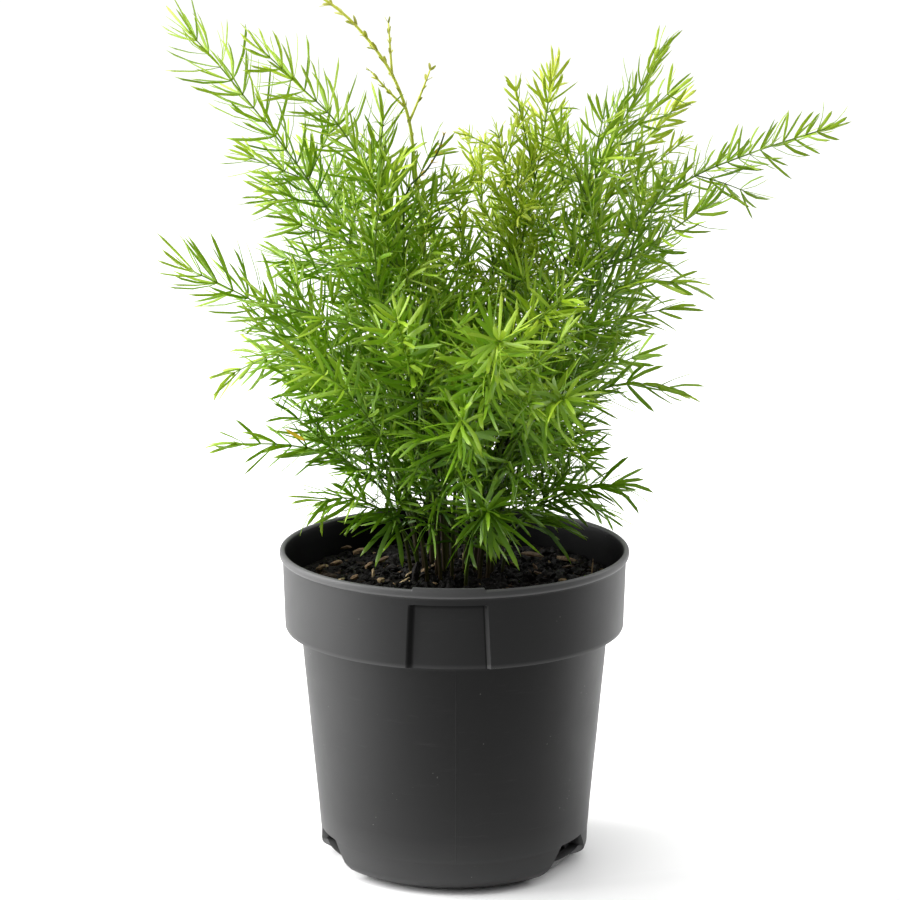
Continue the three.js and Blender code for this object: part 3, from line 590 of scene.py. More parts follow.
# Routes of the stems' centre lines, from the end in the soil to the tip.
STEMS = [
    # to the left
    [(-8, 7, 102), (-8, 4, 165), (-23, 2, 218), (-45, 4, 264), (-64, 6, 294), (-93, 10, 331),
     (-108, 12, 348)],
    [(-7, 0, 102), (-9, -5, 170), (-20, -11, 240), (-31, -14, 284), (-46, -17, 313), (-62, -19, 330),
     (-76, -22, 344)],
    [(-3, 9, 102), (-6, 5, 190), (-12, 3, 256), (-16, 4, 292), (-19, 4, 315), (-27, 4, 335),
     (-42, 5, 354), (-58, 6, 366), (-71, 7, 372)],
    [(-4, -3, 102), (-9, -11, 150), (-23, -23, 215), (-31, -30, 252), (-31, -35, 278), (-23, -40, 301)],
    [(-3, 3, 102), (-7, 2, 165), (-17, -1, 235), (-26, -4, 280), (-30, -7, 300), (-29, -10, 315)],
    [(-12, 2, 102), (-15, -2, 145), (-31, -7, 186), (-60, -11, 224), (-80, -13, 240), (-106, -16, 254)],
    [(-14, 12, 102), (-19, 13, 148), (-37, 16, 184), (-56, 19, 206), (-70, 23, 212), (-82, 27, 209),
     (-93, 31, 203)],
    [(-17, 3, 102), (-20, 0, 135), (-30, -5, 160), (-48, -7, 174), (-68, -9, 180), (-90, -10, 181)],
    [(-14, -5, 102), (-16, -9, 132), (-24, -16, 149), (-36, -23, 159), (-46, -27, 162), (-54, -29, 161)],
    # upright and to the right
    [(3, 12, 102), (7, 9, 160), (16, 8, 208), (24, 9, 244), (30, 11, 272), (36, 14, 302), (40, 18, 329)],
    [(7, 7, 102), (12, 6, 155), (27, 3, 198), (43, 3, 243), (54, 3, 280), (66, 3, 307), (75, 4, 325),
     (83, 4, 341)],
    [(9, 1, 102), (14, -1, 155), (34, -5, 207), (58, -8, 248), (76, -9, 274), (95, -10, 291),
     (122, -13, 303), (149, -14, 312)],
    [(9, 14, 102), (16, 14, 165), (36, 14, 222), (60, 19, 271), (76, 23, 298), (92, 29, 316)],
    [(13, -3, 102), (17, -6, 155), (34, -12, 202), (58, -16, 238), (74, -19, 250), (91, -22, 251)],
    [(14, 13, 102), (18, 14, 150), (36, 16, 186), (57, 19, 215), (73, 22, 228), (89, 26, 231)],
    [(15, 4, 102), (18, 0, 145), (32, -4, 177), (52, -7, 198), (70, -8, 206), (87, -9, 204)],
    [(19, 8, 102), (22, 7, 132), (33, 7, 148), (47, 7, 156), (58, 8, 158), (68, 9, 159)],
    [(16, 19, 102), (19, 21, 128), (29, 26, 141), (44, 31, 146), (54, 35, 145), (63, 38, 141)],
    # towards the front
    [(4, -3, 102), (6, -14, 145), (9, -38, 182), (12, -65, 212), (15, -90, 233), (17, -112, 244)],
    [(9, -7, 102), (12, -16, 140), (18, -33, 171), (27, -53, 195), (36, -73, 210), (43, -92, 217)],
    [(2, 2, 102), (7, -8, 155), (17, -29, 205), (30, -45, 235), (42, -62, 250)],
    [(-1, -8, 102), (-1, -14, 135), (0, -33, 165), (2, -58, 190), (3, -85, 208)],
    [(4, -13, 102), (5, -18, 128), (8, -30, 148), (11, -45, 160), (13, -59, 164)],
    [(-5, -11, 102), (-7, -19, 145), (-12, -36, 195), (-19, -55, 226), (-23, -76, 246)],
    [(-10, -9, 102), (-14, -18, 145), (-28, -36, 186), (-44, -51, 212), (-58, -62, 224)],
    # the middle and the back
    [(-1, 16, 102), (1, 19, 165), (9, 20, 222), (20, 23, 262), (23, 25, 285), (17, 28, 298),
     (6, 30, 304)],
    [(-9, 15, 102), (-12, 20, 155), (-26, 37, 215), (-43, 56, 258), (-62, 76, 290)],
    [(-2, 23, 102), (-4, 31, 150), (-8, 51, 200), (-12, 78, 236), (-14, 104, 256)],
    [(4, 20, 102), (8, 28, 155), (22, 47, 210), (42, 66, 250), (64, 84, 280)],
    [(-14, 19, 102), (-19, 24, 140), (-38, 41, 175), (-62, 57, 196), (-84, 73, 203)],
    [(1, 27, 102), (1, 35, 135), (4, 57, 165), (8, 84, 182), (11, 110, 188)],
    [(10, 24, 102), (15, 29, 138), (34, 45, 172), (58, 60, 194), (80, 73, 202)],
    [(9, 19, 102), (13, 22, 160), (24, 32, 220), (34, 44, 265), (42, 56, 296)],
    [(-8, 21, 102), (-11, 25, 160), (-20, 34, 220), (-28, 46, 262), (-33, 58, 292)],
]
KINDS = {3: "bare", 10: "young", 13: "young", 21: "young", 26: "young"}  # the other stems are mature
# Side shoots that fill the crown: the stem's number, how far along it they start, and their tip.
SIDE_SHOOTS = [
    (1, 0.72, (-93, 4, 302)), (1, 0.62, (-91, -8, 281)), (1, 0.5, (-85, 14, 263)),
    (27, 0.6, (-71, 60, 266)), (27, 0.75, (-84, 84, 278)), (6, 0.5, (-64, -30, 251)),
    (6, 0.72, (-91, -22, 234)), (7, 0.5, (-80, 4, 231)), (8, 0.5, (-70, -20, 199)),
    (5, 0.8, (-10, -2, 300)), (10, 0.7, (18, -4, 308)), (10, 0.6, (52, 26, 297)),
    (26, 0.6, (-1, 6, 289)), (26, 0.7, (6, 40, 300)), (5, 0.6, (-10, -16, 279)),
    (11, 0.7, (60, -14, 316)), (11, 0.8, (89, 22, 323)), (13, 0.8, (99, 30, 304)),
    (13, 0.65, (87, 44, 283)), (12, 0.5, (84, 6, 262)), (12, 0.6, (98, -30, 281)),
    (12, 0.8, (118, -6, 286)), (14, 0.7, (89, -34, 251)), (15, 0.6, (99, 36, 233)),
    (14, 0.5, (77, 0, 239)), (17, 0.6, (55, -12, 180)), (16, 0.6, (52, -24, 178)),
    (19, 0.6, (33, -84, 231)), (24, 0.7, (-30, -52, 236)), (20, 0.6, (52, -70, 196)),
    (22, 0.8, (-14, -70, 196)), (5, 0.72, (-12, 4, 298)), (26, 0.4, (-6, 8, 258)),
    (5, 0.5, (3, -12, 262)), (10, 0.62, (26, -4, 296)), (10, 0.82, (25, 6, 326)),
    (33, 0.6, (14, 24, 262)),
]
# How much the needles hang down, by stem number, where not the usual.
DROOP = {
    1: 0.1, 2: 0.0, 6: -0.6, 8: 0.5, 9: 1.5, 11: 0.1, 12: -0.9, 17: 1.1, 18: 1.5, 20: 0.9, 22: 1.1,
    23: 1.8,
}
USUAL_DROOP = 0.5
FRONT_STARS = range(19, 26)  # stems seen end on, whose last needles stay wide open
# How much greener some stems are than their kind, and how the needles' colour shifts by height: darker
# low in the crown as painted shade, and paler at its top as younger growth with painted light.
AGEING = {10: 0.05, 13: 0.05, 20: 0.1, 21: 0.45, 22: 0.22, 23: 0.15, 24: 0.1, 25: 0.1}
AGE_AND_PAINTED_LIGHT_BY_HEIGHT = ((130, 215, 240, 310), (-0.48, 0.0, 0.0, 0.22))
# Fans of broad needles low in front: the stem's number, the fan's place, and the needles' tips from it.
FRONT_FANS = [
    (23, (13, -59, 164), [(-13, -6, -3), (-12, -8, -15), (-6, -6, -9), (0, -6, -21), (9, -8, -8),
                          (18, -4, -8), (16, -8, -15), (12, -8, -23), (20, -2, -20), (14, -4, 7),
                          (-9, -4, 5), (3, -8, -19)]),
    (23, (9, -43, 156), [(-13, -10, -17), (-5, -10, -20), (14, -8, -16)]),
    (9, (-25, -17, 150), [(-13, -10, -14), (-8, -12, -17), (5, -12, -16)]),
    (18, (27, 24, 140), [(17, -12, -8), (22, -10, -4), (24, -6, 1)]),
    (17, (31, 6, 146), [(20, -18, -13), (24, -14, -9), (26, -8, -5)]),
]
# The crown's outline seen from the front, as height and the left and right ends there.
CROWN = [
    (131, -23, 36), (144, -54, 53), (157, -58, 66), (169, -64, 61), (182, -72, 61), (195, -77, 69),
    (208, -83, 78), (220, -89, 74), (233, -91, 82), (246, -88, 88), (258, -79, 93), (271, -77, 103),
    (283, -83, 128), (296, -90, 132), (308, -98, 100), (345, -105, 92),
]
CROWN_MARGIN = 8.0  # how far inside the outline a side twig ends
VIEW_DISTANCE, VIEW_HEIGHT = 1399.0, 488.0  # where the outline is seen from
# The buds of the new shoot and its side twigs: how far along it they start, and their tip.
BUDS = 26
BARE_TWIGS = [(0.74, (-34, 0, 334)), (0.79, (-27, 8, 353)), (0.72, (-10, 6, 334))]
# A tiny brown shoot, from how far along its stem, and a dead needle.
BROWN_SHOOT_STEM, DEAD_NEEDLE_STEM = 5, 8
BROWN_SHOOT = (0.72, [(-20, -6, 284), (-12, -8, 294), (-8, -8, 300), (-6, -8, 304), (-4, -8, 310)])
DEAD_NEEDLE = ((-69, -24, 190), (-61, -24, 185))
TWIGLESS = {"mature": 0.75, "young": 0.35}  # outer share of the leafy run that has no side twigs
# How far the tips of twigs and of needles stay above the soil and the pot's rim, and needles from its side.
TWIG_ROOM = {"soil": 19.0, "rim": 4.0}
NEEDLE_ROOM = {"soil": 8.0, "rim": 2.0, "side": 3.0}


def draws_from(seed):
    """Repeatable draws between 0 and 1."""
    count = 0

    def draw():
        nonlocal count
        count += 1
        wave = math.sin((seed * 97 + count) * 12.9898 + 78.233) * 43758.5453
        return wave - math.floor(wave)

    return draw


def unit(vector):
    return vector / np.linalg.norm(vector)


def turned_about(vector, axis, angle):
    """A vector turned about a unit axis."""
    c, s = math.cos(angle), math.sin(angle)
    return vector * c + np.cross(axis, vector) * s + axis * np.dot(axis, vector) * (1 - c)


def sideways(along, turn, angle):
    """The direction that leaves a stem at an angle to it, turned round it."""
    across = unit(np.cross(along, np.array((0.37, -0.62, -0.69))))
    return turned_about(across, along, turn) * math.sin(angle) + along * math.cos(angle)


def smooth_route(points, per_stretch=40):
    """A Catmull-Rom curve through points, as many points with their distances along it."""
    p = np.asarray(points, dtype=float)
    ends = np.vstack((2 * p[0] - p[1], p, 2 * p[-1] - p[-2]))
    t = np.linspace(0, 1, per_stretch, endpoint=False)[:, None]
    made = []
    for a, b, c, d in zip(ends, ends[1:], ends[2:], ends[3:]):
        m0, m1 = (c - a) / 2, (d - b) / 2
        made.append(
            b + m0 * t + (-3 * b + 3 * c - 2 * m0 - m1) * t**2 + (2 * b - 2 * c + m0 + m1) * t**3
        )
    made.append(p[-1:])
    curve = np.vstack(made)
    steps = np.linalg.norm(np.diff(curve, axis=0), axis=1)
    return curve, np.concatenate(([0.0], np.cumsum(steps)))


class Route:
    """A stem's centre line: smooth, and as the chain of straight stretches that its solid has."""

    def __init__(self, number, points):
        self.number, self.index = number, number - 1
        self.kind = KINDS.get(number, "mature")
        self.name = f"leafy_stem_{number:02d}"
        self.curve, self.distance = smooth_route(points)
        self.length = self.distance[-1]
        self.steps = round(self.length / STEM_STEP)
        self.nodes = np.array([self.point(self.length * i / self.steps) for i in range(self.steps + 1)])
        self.run = self.span(*LEAFY_RUN)
        self.twigs = []

    def span(self, share, least, most=math.inf):
        return min(max(share * self.length, least), most)

    def point(self, distance):
        return np.array([np.interp(distance, self.distance, self.curve[:, k]) for k in range(3)])

    def along(self, distance):
        low, high = max(distance - 2.0, 0.0), min(distance + 2.0, self.length)
        return unit(self.point(high) - self.point(low))

    def on_chain(self, distance):
        """A place on the chain of straight stretches, and its direction."""
        place = min(max(distance / (self.length / self.steps), 0.0), self.steps - 1e-6)
        first = int(place)
        stretch = self.nodes[first + 1] - self.nodes[first]
        return self.nodes[first] + stretch * (place - first), unit(stretch)


class Limbs:
    """Centre lines that twigs keep clear of, each with a radius and an owner."""

    def __init__(self):
        self.start, self.end, self.radius, self.owner = [], [], [], []

    def add(self, start, end, radius, owner):
        self.start.append(start)
        self.end.append(end)
        self.radius.append(radius)
        self.owner.append(owner)

    def clear(self, start, end, radius, owner):
        """True where a limb keeps clear of other stems and, past its root, of its own stem."""
        own = np.array([o == owner for o in self.owner])
        a = np.where(own[:, None], start + 0.35 * (end - start), start)
        gaps = segment_gaps(a, np.broadcast_to(end, a.shape), np.array(self.start), np.array(self.end))
        room = radius + np.array(self.radius) + np.where(own, 0.1, GAP + 0.1)
        return bool(np.all(gaps > room))


def segment_gaps(p1, q1, p2, q2):
    """Least distances between segments p1 to q1 and p2 to q2, row by row."""
    d1, d2, r = q1 - p1, q2 - p2, p1 - p2
    a, e = (d1 * d1).sum(1), (d2 * d2).sum(1)
    f, c, b = (d2 * r).sum(1), (d1 * r).sum(1), (d1 * d2).sum(1)
    denominator = a * e - b * b
    safe = np.where(denominator > 1e-12, denominator, 1.0)
    s = np.where(denominator > 1e-12, np.clip((b * f - c * e) / safe, 0, 1), 0.0)
    t = (b * s + f) / e
    s = np.where(t < 0, np.clip(-c / a, 0, 1), np.where(t > 1, np.clip((b - c) / a, 0, 1), s))
    t = np.clip(t, 0, 1)
    return np.linalg.norm((p1 + d1 * s[:, None]) - (p2 + d2 * t[:, None]), axis=1)


def is_in_crown(point):
    """True where a point, seen from the front, is inside the crown's outline by its margin."""
    scale = VIEW_DISTANCE / (VIEW_DISTANCE + point[1])
    across, height = point[0] * scale, VIEW_HEIGHT + (point[2] - VIEW_HEIGHT) * scale
    heights, left, right = zip(*CROWN)
    low = np.interp(height, heights, left) + CROWN_MARGIN
    return low < across < np.interp(height, heights, right) - CROWN_MARGIN


def is_above_pot(point):
    is_over_soil = math.hypot(point[0], point[1]) < WALL_TOP_RADIUS
    return point[2] > (SOIL_LEVEL + TWIG_ROOM["soil"] if is_over_soil else RIM_HEIGHT + TWIG_ROOM["rim"])


def add_twig(route, limbs, distance, tips):
    """Adds a straight twig to the first of the tried tips that is clear of everything, if any is."""
    start = route.on_chain(distance)[0]
    for tip in tips:
        allowed = is_above_pot(tip) and is_in_crown(tip)
        if allowed and limbs.clear(start, tip, CAD_TWIG_RADIUS, route.name):
            limbs.add(start, tip, CAD_TWIG_RADIUS, route.name)
            route.twigs.append((distance, tip))
            return


def plan_side_shoots(route, limbs):
    for number, share, tip in SIDE_SHOOTS:
        if number == route.number:
            distance = share * route.length
            start = route.on_chain(distance)[0]
            tips = [start + (np.array(tip, float) - start) * size for size in SIDE_SHOOT_SIZES]
            add_twig(route, limbs, distance, tips)


def plan_twigs(route, limbs):
    """The regular side twigs of a stem, turned round it or shortened until they are clear."""
    bare, reach = route.span(*BARE_FOOT), route.span(*TWIG_REACH)
    twiggy = route.length - route.run - bare
    count = 0 if route.kind == "bare" else max(math.floor(twiggy / TWIG_SPACING + 0.5), 0)
    draw = draws_from(route.index)
    for k in range(count):
        share = (k + 0.5) / count
        distance = bare + share * twiggy
        point, along = route.on_chain(distance)
        turn = GOLDEN_TURN * (k + route.index) + 0.5 * draw()
        angle = math.radians(44 + 14 * draw())
        length = reach * (1 - 0.35 * share) * (0.85 + 0.3 * draw())
        tips = [
            point + sideways(along, turn + math.radians(swing), angle) * length * size
            for size in TWIG_SIZES
            for swing in TWIG_SWINGS
        ]
        add_twig(route, limbs, distance, tips)


class Foliage:
    """Collects the mesh of one stem with its twigs and needles."""

    def __init__(self, droop, ageing):
        self.droop, self.ageing = droop, ageing
        self.points, self.faces = [], []
        self.values = {"age": [], "tone": [], "along": [], "bark": []}
        self.count = 0
        self.needles = []
        self.first_blade = 0

    def add(self, points, faces, age, tone, along, bark):
        self.points.append(points)
        self.faces += [tuple(i + self.count for i in face) for face in faces]
        self.count += len(points)
        for key, value in zip(self.values, (age, tone, along, bark)):
            self.values[key].append(np.broadcast_to(value, len(points)))

    def tube(self, centres, radii, sides, bark, age=0.5):
        """A closed round stem through centres, which thins towards its tip."""
        rings = []
        along = unit(centres[1] - centres[0])
        across = unit(np.cross(along, np.array((0.3, 0.9, 0.1))))
        for i, centre in enumerate(centres):
            ahead = centres[min(i + 1, len(centres) - 1)] - centres[max(i - 1, 0)]
            along = unit(ahead)
            across = unit(across - along * np.dot(across, along))
            other = np.cross(along, across)
            for k in range(sides):
                turn = 2 * math.pi * k / sides
                rings.append(centre + radii[i] * (across * math.cos(turn) + other * math.sin(turn)))
        faces = tube_faces(len(centres), sides)
        self.add(np.array(rings), faces, age, 0.5, 0.0, np.repeat(bark, sides))

    def needle(self, root, direction, pull, length, width, age, draw):
        """Notes one needle; they are all made together by blades(). It bends towards its pull."""
        bend = math.radians(8 + 36 * draw())
        roll = math.radians(-75 + 150 * draw())
        tone = draw()
        # Painted shade on needles low in the crown and painted light on those at its top, added to their
        # age.
        if age < DEAD:
            age += np.interp(root[2], *AGE_AND_PAINTED_LIGHT_BY_HEIGHT) - self.ageing
        lean = direction + unit(pull) * math.tan(bend / 2)
        tip = root + unit(lean) * length
        if is_free(tip) and is_free(root + 0.6 * (tip - root)):
            self.needles.append((*root, *direction, *pull, length, width, bend, roll, age, tone))

    def blades(self):
        """The flat, pointed, slightly bowed blades of all noted needles."""
        n = np.array(self.needles)
        root, direction, pull = n[:, 0:3], n[:, 3:6], n[:, 6:9]
        length, width, bend, roll, age, tone = (n[:, i] for i in range(9, 15))
        inward = pull - direction * (pull * direction).sum(1, keepdims=True)
        inward /= np.linalg.norm(inward, axis=1, keepdims=True)
        side = np.cross(direction, inward)
        points = []
        for t, w in BLADE_SHAPE:
            turn = bend * t
            centre = root + length[:, None] * (
                direction * (np.sin(turn) / bend)[:, None] + inward * ((1 - np.cos(turn)) / bend)[:, None]
            )
            ahead = direction * np.cos(turn)[:, None] + inward * np.sin(turn)[:, None]
            normal = np.cross(ahead, side)
            spin = roll + 0.6 * t
            flat = side * np.cos(spin)[:, None] + normal * np.sin(spin)[:, None]
            face = np.cross(ahead, flat)
            half = (width * w / 2)[:, None]
            deep = NEEDLE_THICKNESS / 2 * min(1.0, 0.3 + w)
            points += [centre + away for away in (flat * half, face * deep, -flat * half, -face * deep)]
        per = len(points)
        share = np.repeat([t for t, w in BLADE_SHAPE], 4)
        points = np.stack(points, axis=1).reshape(-1, 3)
        blade = tube_faces(len(BLADE_SHAPE), 4)
        faces = [tuple(m * per + i for i in face) for m in range(len(n)) for face in blade]
        self.first_blade = self.count
        self.add(points, faces, np.repeat(age, per), np.repeat(tone, per), np.tile(share, len(n)), -1.0)

    def piece(self, name, slot, nodes, material):
        attributes = {key: np.concatenate(values) for key, values in self.values.items()}
        made = new_piece(name, np.vstack(self.points), self.faces, nodes, True, attributes)
        made.data.materials.append(material)
        self.crease_blades(made.data)
        return made

    def crease_blades(self, mesh):
        """Hard edges along the two sides of each blade, so its faces look flat."""
        ends = np.empty(2 * len(mesh.edges), dtype=np.int32)
        mesh.edges.foreach_get("vertices", ends)
        ends = ends.reshape(-1, 2)
        line = (ends - self.first_blade) % 4
        sharp = (ends.min(1) >= self.first_blade) & (line[:, 0] == line[:, 1]) & (line[:, 0] % 2 == 0)
        mesh.attributes.new("sharp_edge", "BOOLEAN", "EDGE").data.foreach_set("value", sharp)


def is_free(point):
    """True where a needle's point is clear of the pot and the soil and near the plant."""
    across = math.hypot(point[0], point[1])
    if across < WALL_TOP_RADIUS:
        low = SOIL_LEVEL + NEEDLE_ROOM["soil"]
    elif across < LIP_RADIUS + NEEDLE_ROOM["side"]:
        low = RIM_HEIGHT + NEEDLE_ROOM["rim"]
    else:
        low = COLLAR_BOTTOM
    inside = np.all(point > LIMITS[0]) and np.all(point < LIMITS[1])
    return point[2] > low and inside


def cluster(foliage, point, along, first_turn, count, age, length, width, angle, draw):
    """Needles that spring from one node, fanned round the stem."""
    for k in range(count):
        turn = first_turn + 2 * math.pi * (k + 0.6 * draw()) / count
        direction = sideways(along, turn, math.radians(angle - 14 + 28 * draw()))
        size = length * (0.75 + 0.4 * draw())
        pull = along + np.array((draw() - 0.5, draw() - 0.5, -2.4 * foliage.droop * draw()))
        foliage.needle(point, direction, pull, size, width * (0.75 + 0.4 * draw()), age, draw)


def place_on(centres, share):
    """A point a share of the way through evenly spaced centres, and the direction there."""
    place = min(share * (len(centres) - 1), len(centres) - 1.001)
    first = int(place)
    stretch = centres[first + 1] - centres[first]
    return centres[first] + stretch * (place - first), unit(stretch)


def grow_twig(foliage, start, end, height, kind, draw, depth=0):
    """A side twig with its needles; a long one carries short twigs of its own."""
    length = np.linalg.norm(end - start)
    outward = unit(end - start)
    lift = np.array((0.0, 0.0, 1.0)) - outward * outward[2]
    middle = (start + end) / 2 + lift * length * (0.10 * draw() - 0.05)
    t = np.linspace(0, 1, TWIG_RINGS)[:, None]
    centres = (1 - t) ** 2 * start + 2 * t * (1 - t) * middle + t**2 * end
    radii = np.linspace(*TWIG_RADIUS, TWIG_RINGS) * min(1.0, 0.55 + length / 90)
    foliage.tube(centres, radii, TWIG_SIDES, np.linspace(0.35 + 0.4 * height, 1.0, TWIG_RINGS))
    spacing, many, size, width, angle = TWIG_NEEDLES[kind]
    nodes = max(round(length / spacing), 2)
    for k in range(nodes):
        share = (k + 0.8) / nodes
        point, along = place_on(centres, share)
        age = 0.1 + 0.45 * height + 0.35 * share
        tapered = size * (1 - 0.22 * max(share - 0.7, 0) / 0.3)
        count = many + (draw() > 0.6)
        cluster(foliage, point, along, GOLDEN_TURN * k, count, age, tapered, width, angle, draw)
    along, age = place_on(centres, 1)[1], 0.3 + 0.55 * height
    cluster(foliage, centres[-1], along, 1.0, 3, age, 0.8 * size, width, 26, draw)
    if depth or length < LONG_TWIG:
        return
    small = round(length * 0.75 / SMALL_TWIG_SPACING)
    for k in range(small):
        share = 0.15 + 0.72 * (k + 0.5) / small
        point, along = place_on(centres, share)
        reach = (20 + 10 * draw()) * (1.1 - 0.55 * share)
        tip = point + sideways(along, GOLDEN_TURN * k + 2, math.radians(46)) * reach
        if is_free(tip) and is_in_crown(tip):
            grow_twig(foliage, point, tip, height + 0.1, kind, draw, depth + 1)


def grow_stem(route, material):
    number = route.number
    foliage = Foliage(DROOP.get(number, USUAL_DROOP), AGEING.get(number, 0.0))
    draw = draws_from(500 + route.index)
    count = max(int(route.length / 4.0), 12)
    distances = np.linspace(0, route.length, count)
    centres = np.array([route.point(d) for d in distances])
    share = distances / route.length
    thick, thin = STEM_RADIUS[route.kind]
    foliage.tube(centres, thin + (thick - thin) * (1 - share) ** 1.3, STEM_SIDES, share * 1.15 - 0.05)
    if route.kind == "bare":
        dress_bare_shoot(foliage, route, draw)
    else:
        dress_leafy_stem(foliage, route, draw)
    for owner, place, tips in FRONT_FANS:
        if owner == number:
            add_fan(foliage, np.array(place, float), np.array(tips, float), draw)
    if number == BROWN_SHOOT_STEM:
        add_brown_shoot(foliage, route, draw)
    if number == DEAD_NEEDLE_STEM:
        root, tip = np.array(DEAD_NEEDLE, float)
        length = np.linalg.norm(tip - root)
        foliage.needle(root, unit(tip - root), np.array((0.0, -1.0, 0.3)), length, 1.5, 2.0, draw)
    foliage.blades()
    return foliage.piece(route.name + "_grown", SLOTS[route.kind], [route.name], material)


def dress_leafy_stem(foliage, route, draw):
    number, kind = route.number, route.kind
    for distance, end in route.twigs:
        grow_twig(foliage, route.point(distance), end, distance / route.length, kind, draw)
    spacing = FILLER_SPACING.get(number, USUAL_FILLER_SPACING)
    first, last = route.span(*FILLERS_FROM), route.length - TWIGLESS[kind] * route.run
    fillers = max(round((last - first) / spacing), 0)
    for k in range(fillers):
        distance = first + (last - first) * (k + 0.5) / fillers
        share = distance / route.length
        reach = route.span(*FILLER_REACH) * (1.12 - 0.75 * share) * (0.6 + 0.6 * draw())
        angle = math.radians(42 + 22 * draw())
        way = sideways(route.along(distance), GOLDEN_TURN * k + route.index, angle)
        start = route.point(distance)
        tips = [start + way * reach * size for size in TWIG_SIZES]
        tip = next((tip for tip in tips if is_free(tip) and is_in_crown(tip)), None)
        if tip is not None:
            grow_twig(foliage, start, tip, share, kind, draw)
    spacing, many, length, width, angle = RUN_NEEDLES.get(number, RUN_NEEDLES["mature"])
    nodes = int(route.run / spacing)
    closing = 0.15 if number in FRONT_STARS else 0.35
    for k in range(nodes):
        back = (k + 0.5) * spacing
        point, along = route.point(route.length - back), route.along(route.length - back)
        tip = max(1 - back / 20.0, 0.0)
        age = 0.4 + 0.5 * (1 - back / route.run)
        size, open_angle = length * (1 - 0.25 * tip), angle * (1 - closing * tip)
        count = many + (draw() > 0.5) - (tip > 0.5)
        cluster(foliage, point, along, GOLDEN_TURN * k, count, age, size, width, open_angle, draw)
    end, along = route.point(route.length), route.along(route.length)
    cluster(foliage, end, along, 1.0, 3, 1.0, 0.8 * length, width, 20, draw)


def add_fan(foliage, place, tips, draw):
    """Needles from one place to given tips, which bow and hang down at their ends."""
    for tip in tips:
        length, age = np.linalg.norm(tip), 0.35 + 0.3 * draw()
        direction = unit(tip + np.array((0.0, 0.0, 0.22 * length)))
        foliage.needle(place, direction, np.array((0.0, 0.0, -1.0)), length, 2.1, age, draw)


def add_brown_shoot(foliage, route, draw):
    share, points = BROWN_SHOOT
    centres = smooth_route([route.point(share * route.length), *points], 3)[0]
    count = len(centres)
    foliage.tube(centres, np.linspace(*BROWN_SHOOT_RADIUS, count), TWIG_SIDES, np.full(count, 0.45))
    for k in range(5):
        point, along = place_on(centres, 0.35 + 0.15 * k)
        cluster(foliage, point, along, GOLDEN_TURN * k, 2, 1.6, 3.0, 0.8, 30, draw)


def dress_bare_shoot(foliage, route, draw):
    """The new shoot has only buds, scale leaves and a few short side twigs near its top."""
    for start_share, tip in BARE_TWIGS:
        start, end = route.point(start_share * route.length), np.array(tip, float)
        t = np.linspace(0, 1, BARE_TWIG_RINGS)[:, None]
        centres = start + (end - start) * t + np.array((0.0, 0.0, -2.0)) * t * (1 - t)
        radii = np.linspace(*BARE_TWIG_RADIUS, BARE_TWIG_RINGS)
        foliage.tube(centres, radii, TWIG_SIDES, np.ones(BARE_TWIG_RINGS))
        for k in range(4):
            point, along = place_on(centres, 0.4 + 0.2 * k)
            cluster(foliage, point, along, GOLDEN_TURN * k, 2, 0.7, 3.4, 1.2, 28, draw)
    for k in range(BUDS):
        distance = route.length * (0.42 + 0.58 * (k + 0.3) / BUDS)
        point, along = route.point(distance), route.along(distance)
        late = max((k - 14) / 12, 0)
        cluster(foliage, point, along, GOLDEN_TURN * k, 2 + (k > 17), 0.7, 3.2 + 4.5 * late, 1.4, 26, draw)


# ---------------------------------------------------------------- soil


SOIL_MOUND = {"height": 4.0, "radius": 46.0, "back": 6.0}
SOIL_SIDES = 220
SOIL_SHADE = 0.2


def soil_height(x, y):
    """Height of the uneven top of the soil above its level, in mm."""
    away = x * x + (y - SOIL_MOUND["back"]) ** 2
    mound = SOIL_MOUND["height"] * max(1 - away / SOIL_MOUND["radius"] ** 2, 0)
    broad = 1.5 * (0.6 * math.sin(x / 7 + 1) * math.cos(y / 9) + 0.4 * math.sin((x + y) / 5))
    place = Vector((x, y, 0.0))
    lumps = 2.6 * noise.noise(place / 8.0) + 2.6 * noise.noise(place / 3.6 + Vector((7, 3, 1)))
    return mound + 0.5 * broad + lumps + 1.3 * noise.noise(place / 1.6 + Vector((1, 9, 5)))


def make_soil(material):
    rings = [1.5 * i for i in range(1, 46)] + [68.6, 69.3]
    skirt = [(69.0, 104.4), (62.9, 102.2), (55.2, 20.0), (47.7, 16.1), (47.7, 6.5), (44.0, FLOOR + GAP)]
    turns = [2 * math.pi * k / SOIL_SIDES for k in range(SOIL_SIDES)]
    points, chip = [(0.0, 0.0, SOIL_LEVEL + soil_height(0, 0))], [0.1]
    for radius in rings:
        for x, y in (round_axis(radius, turn) for turn in turns):
            points.append((x, y, SOIL_LEVEL + soil_height(x, y) * min(1, (70.5 - radius) / 3)))
            chip.append(SOIL_SHADE + 0.3 * noise.noise(Vector((x, y, 4.0)) / 3.0))
    points += [(*round_axis(radius, turn), height) for radius, height in skirt for turn in turns]
    points.append((0.0, 0.0, FLOOR + GAP))
    chip += [SOIL_SHADE] * (len(points) - len(chip))
    faces = lathe_faces(len(rings) + len(skirt), SOIL_SIDES, falling=True)
    soil = new_piece("soil_bed", points, faces, ["soil"], True, {"chip": chip})
    soil.data.materials.append(material)


def icosahedron():
    made = bmesh.new()
    bmesh.ops.create_icosphere(made, subdivisions=1, radius=1.0)
    points = np.array([v.co for v in made.verts])
    faces = [tuple(v.index for v in f.verts) for f in made.faces]
    made.free()
    return points, faces


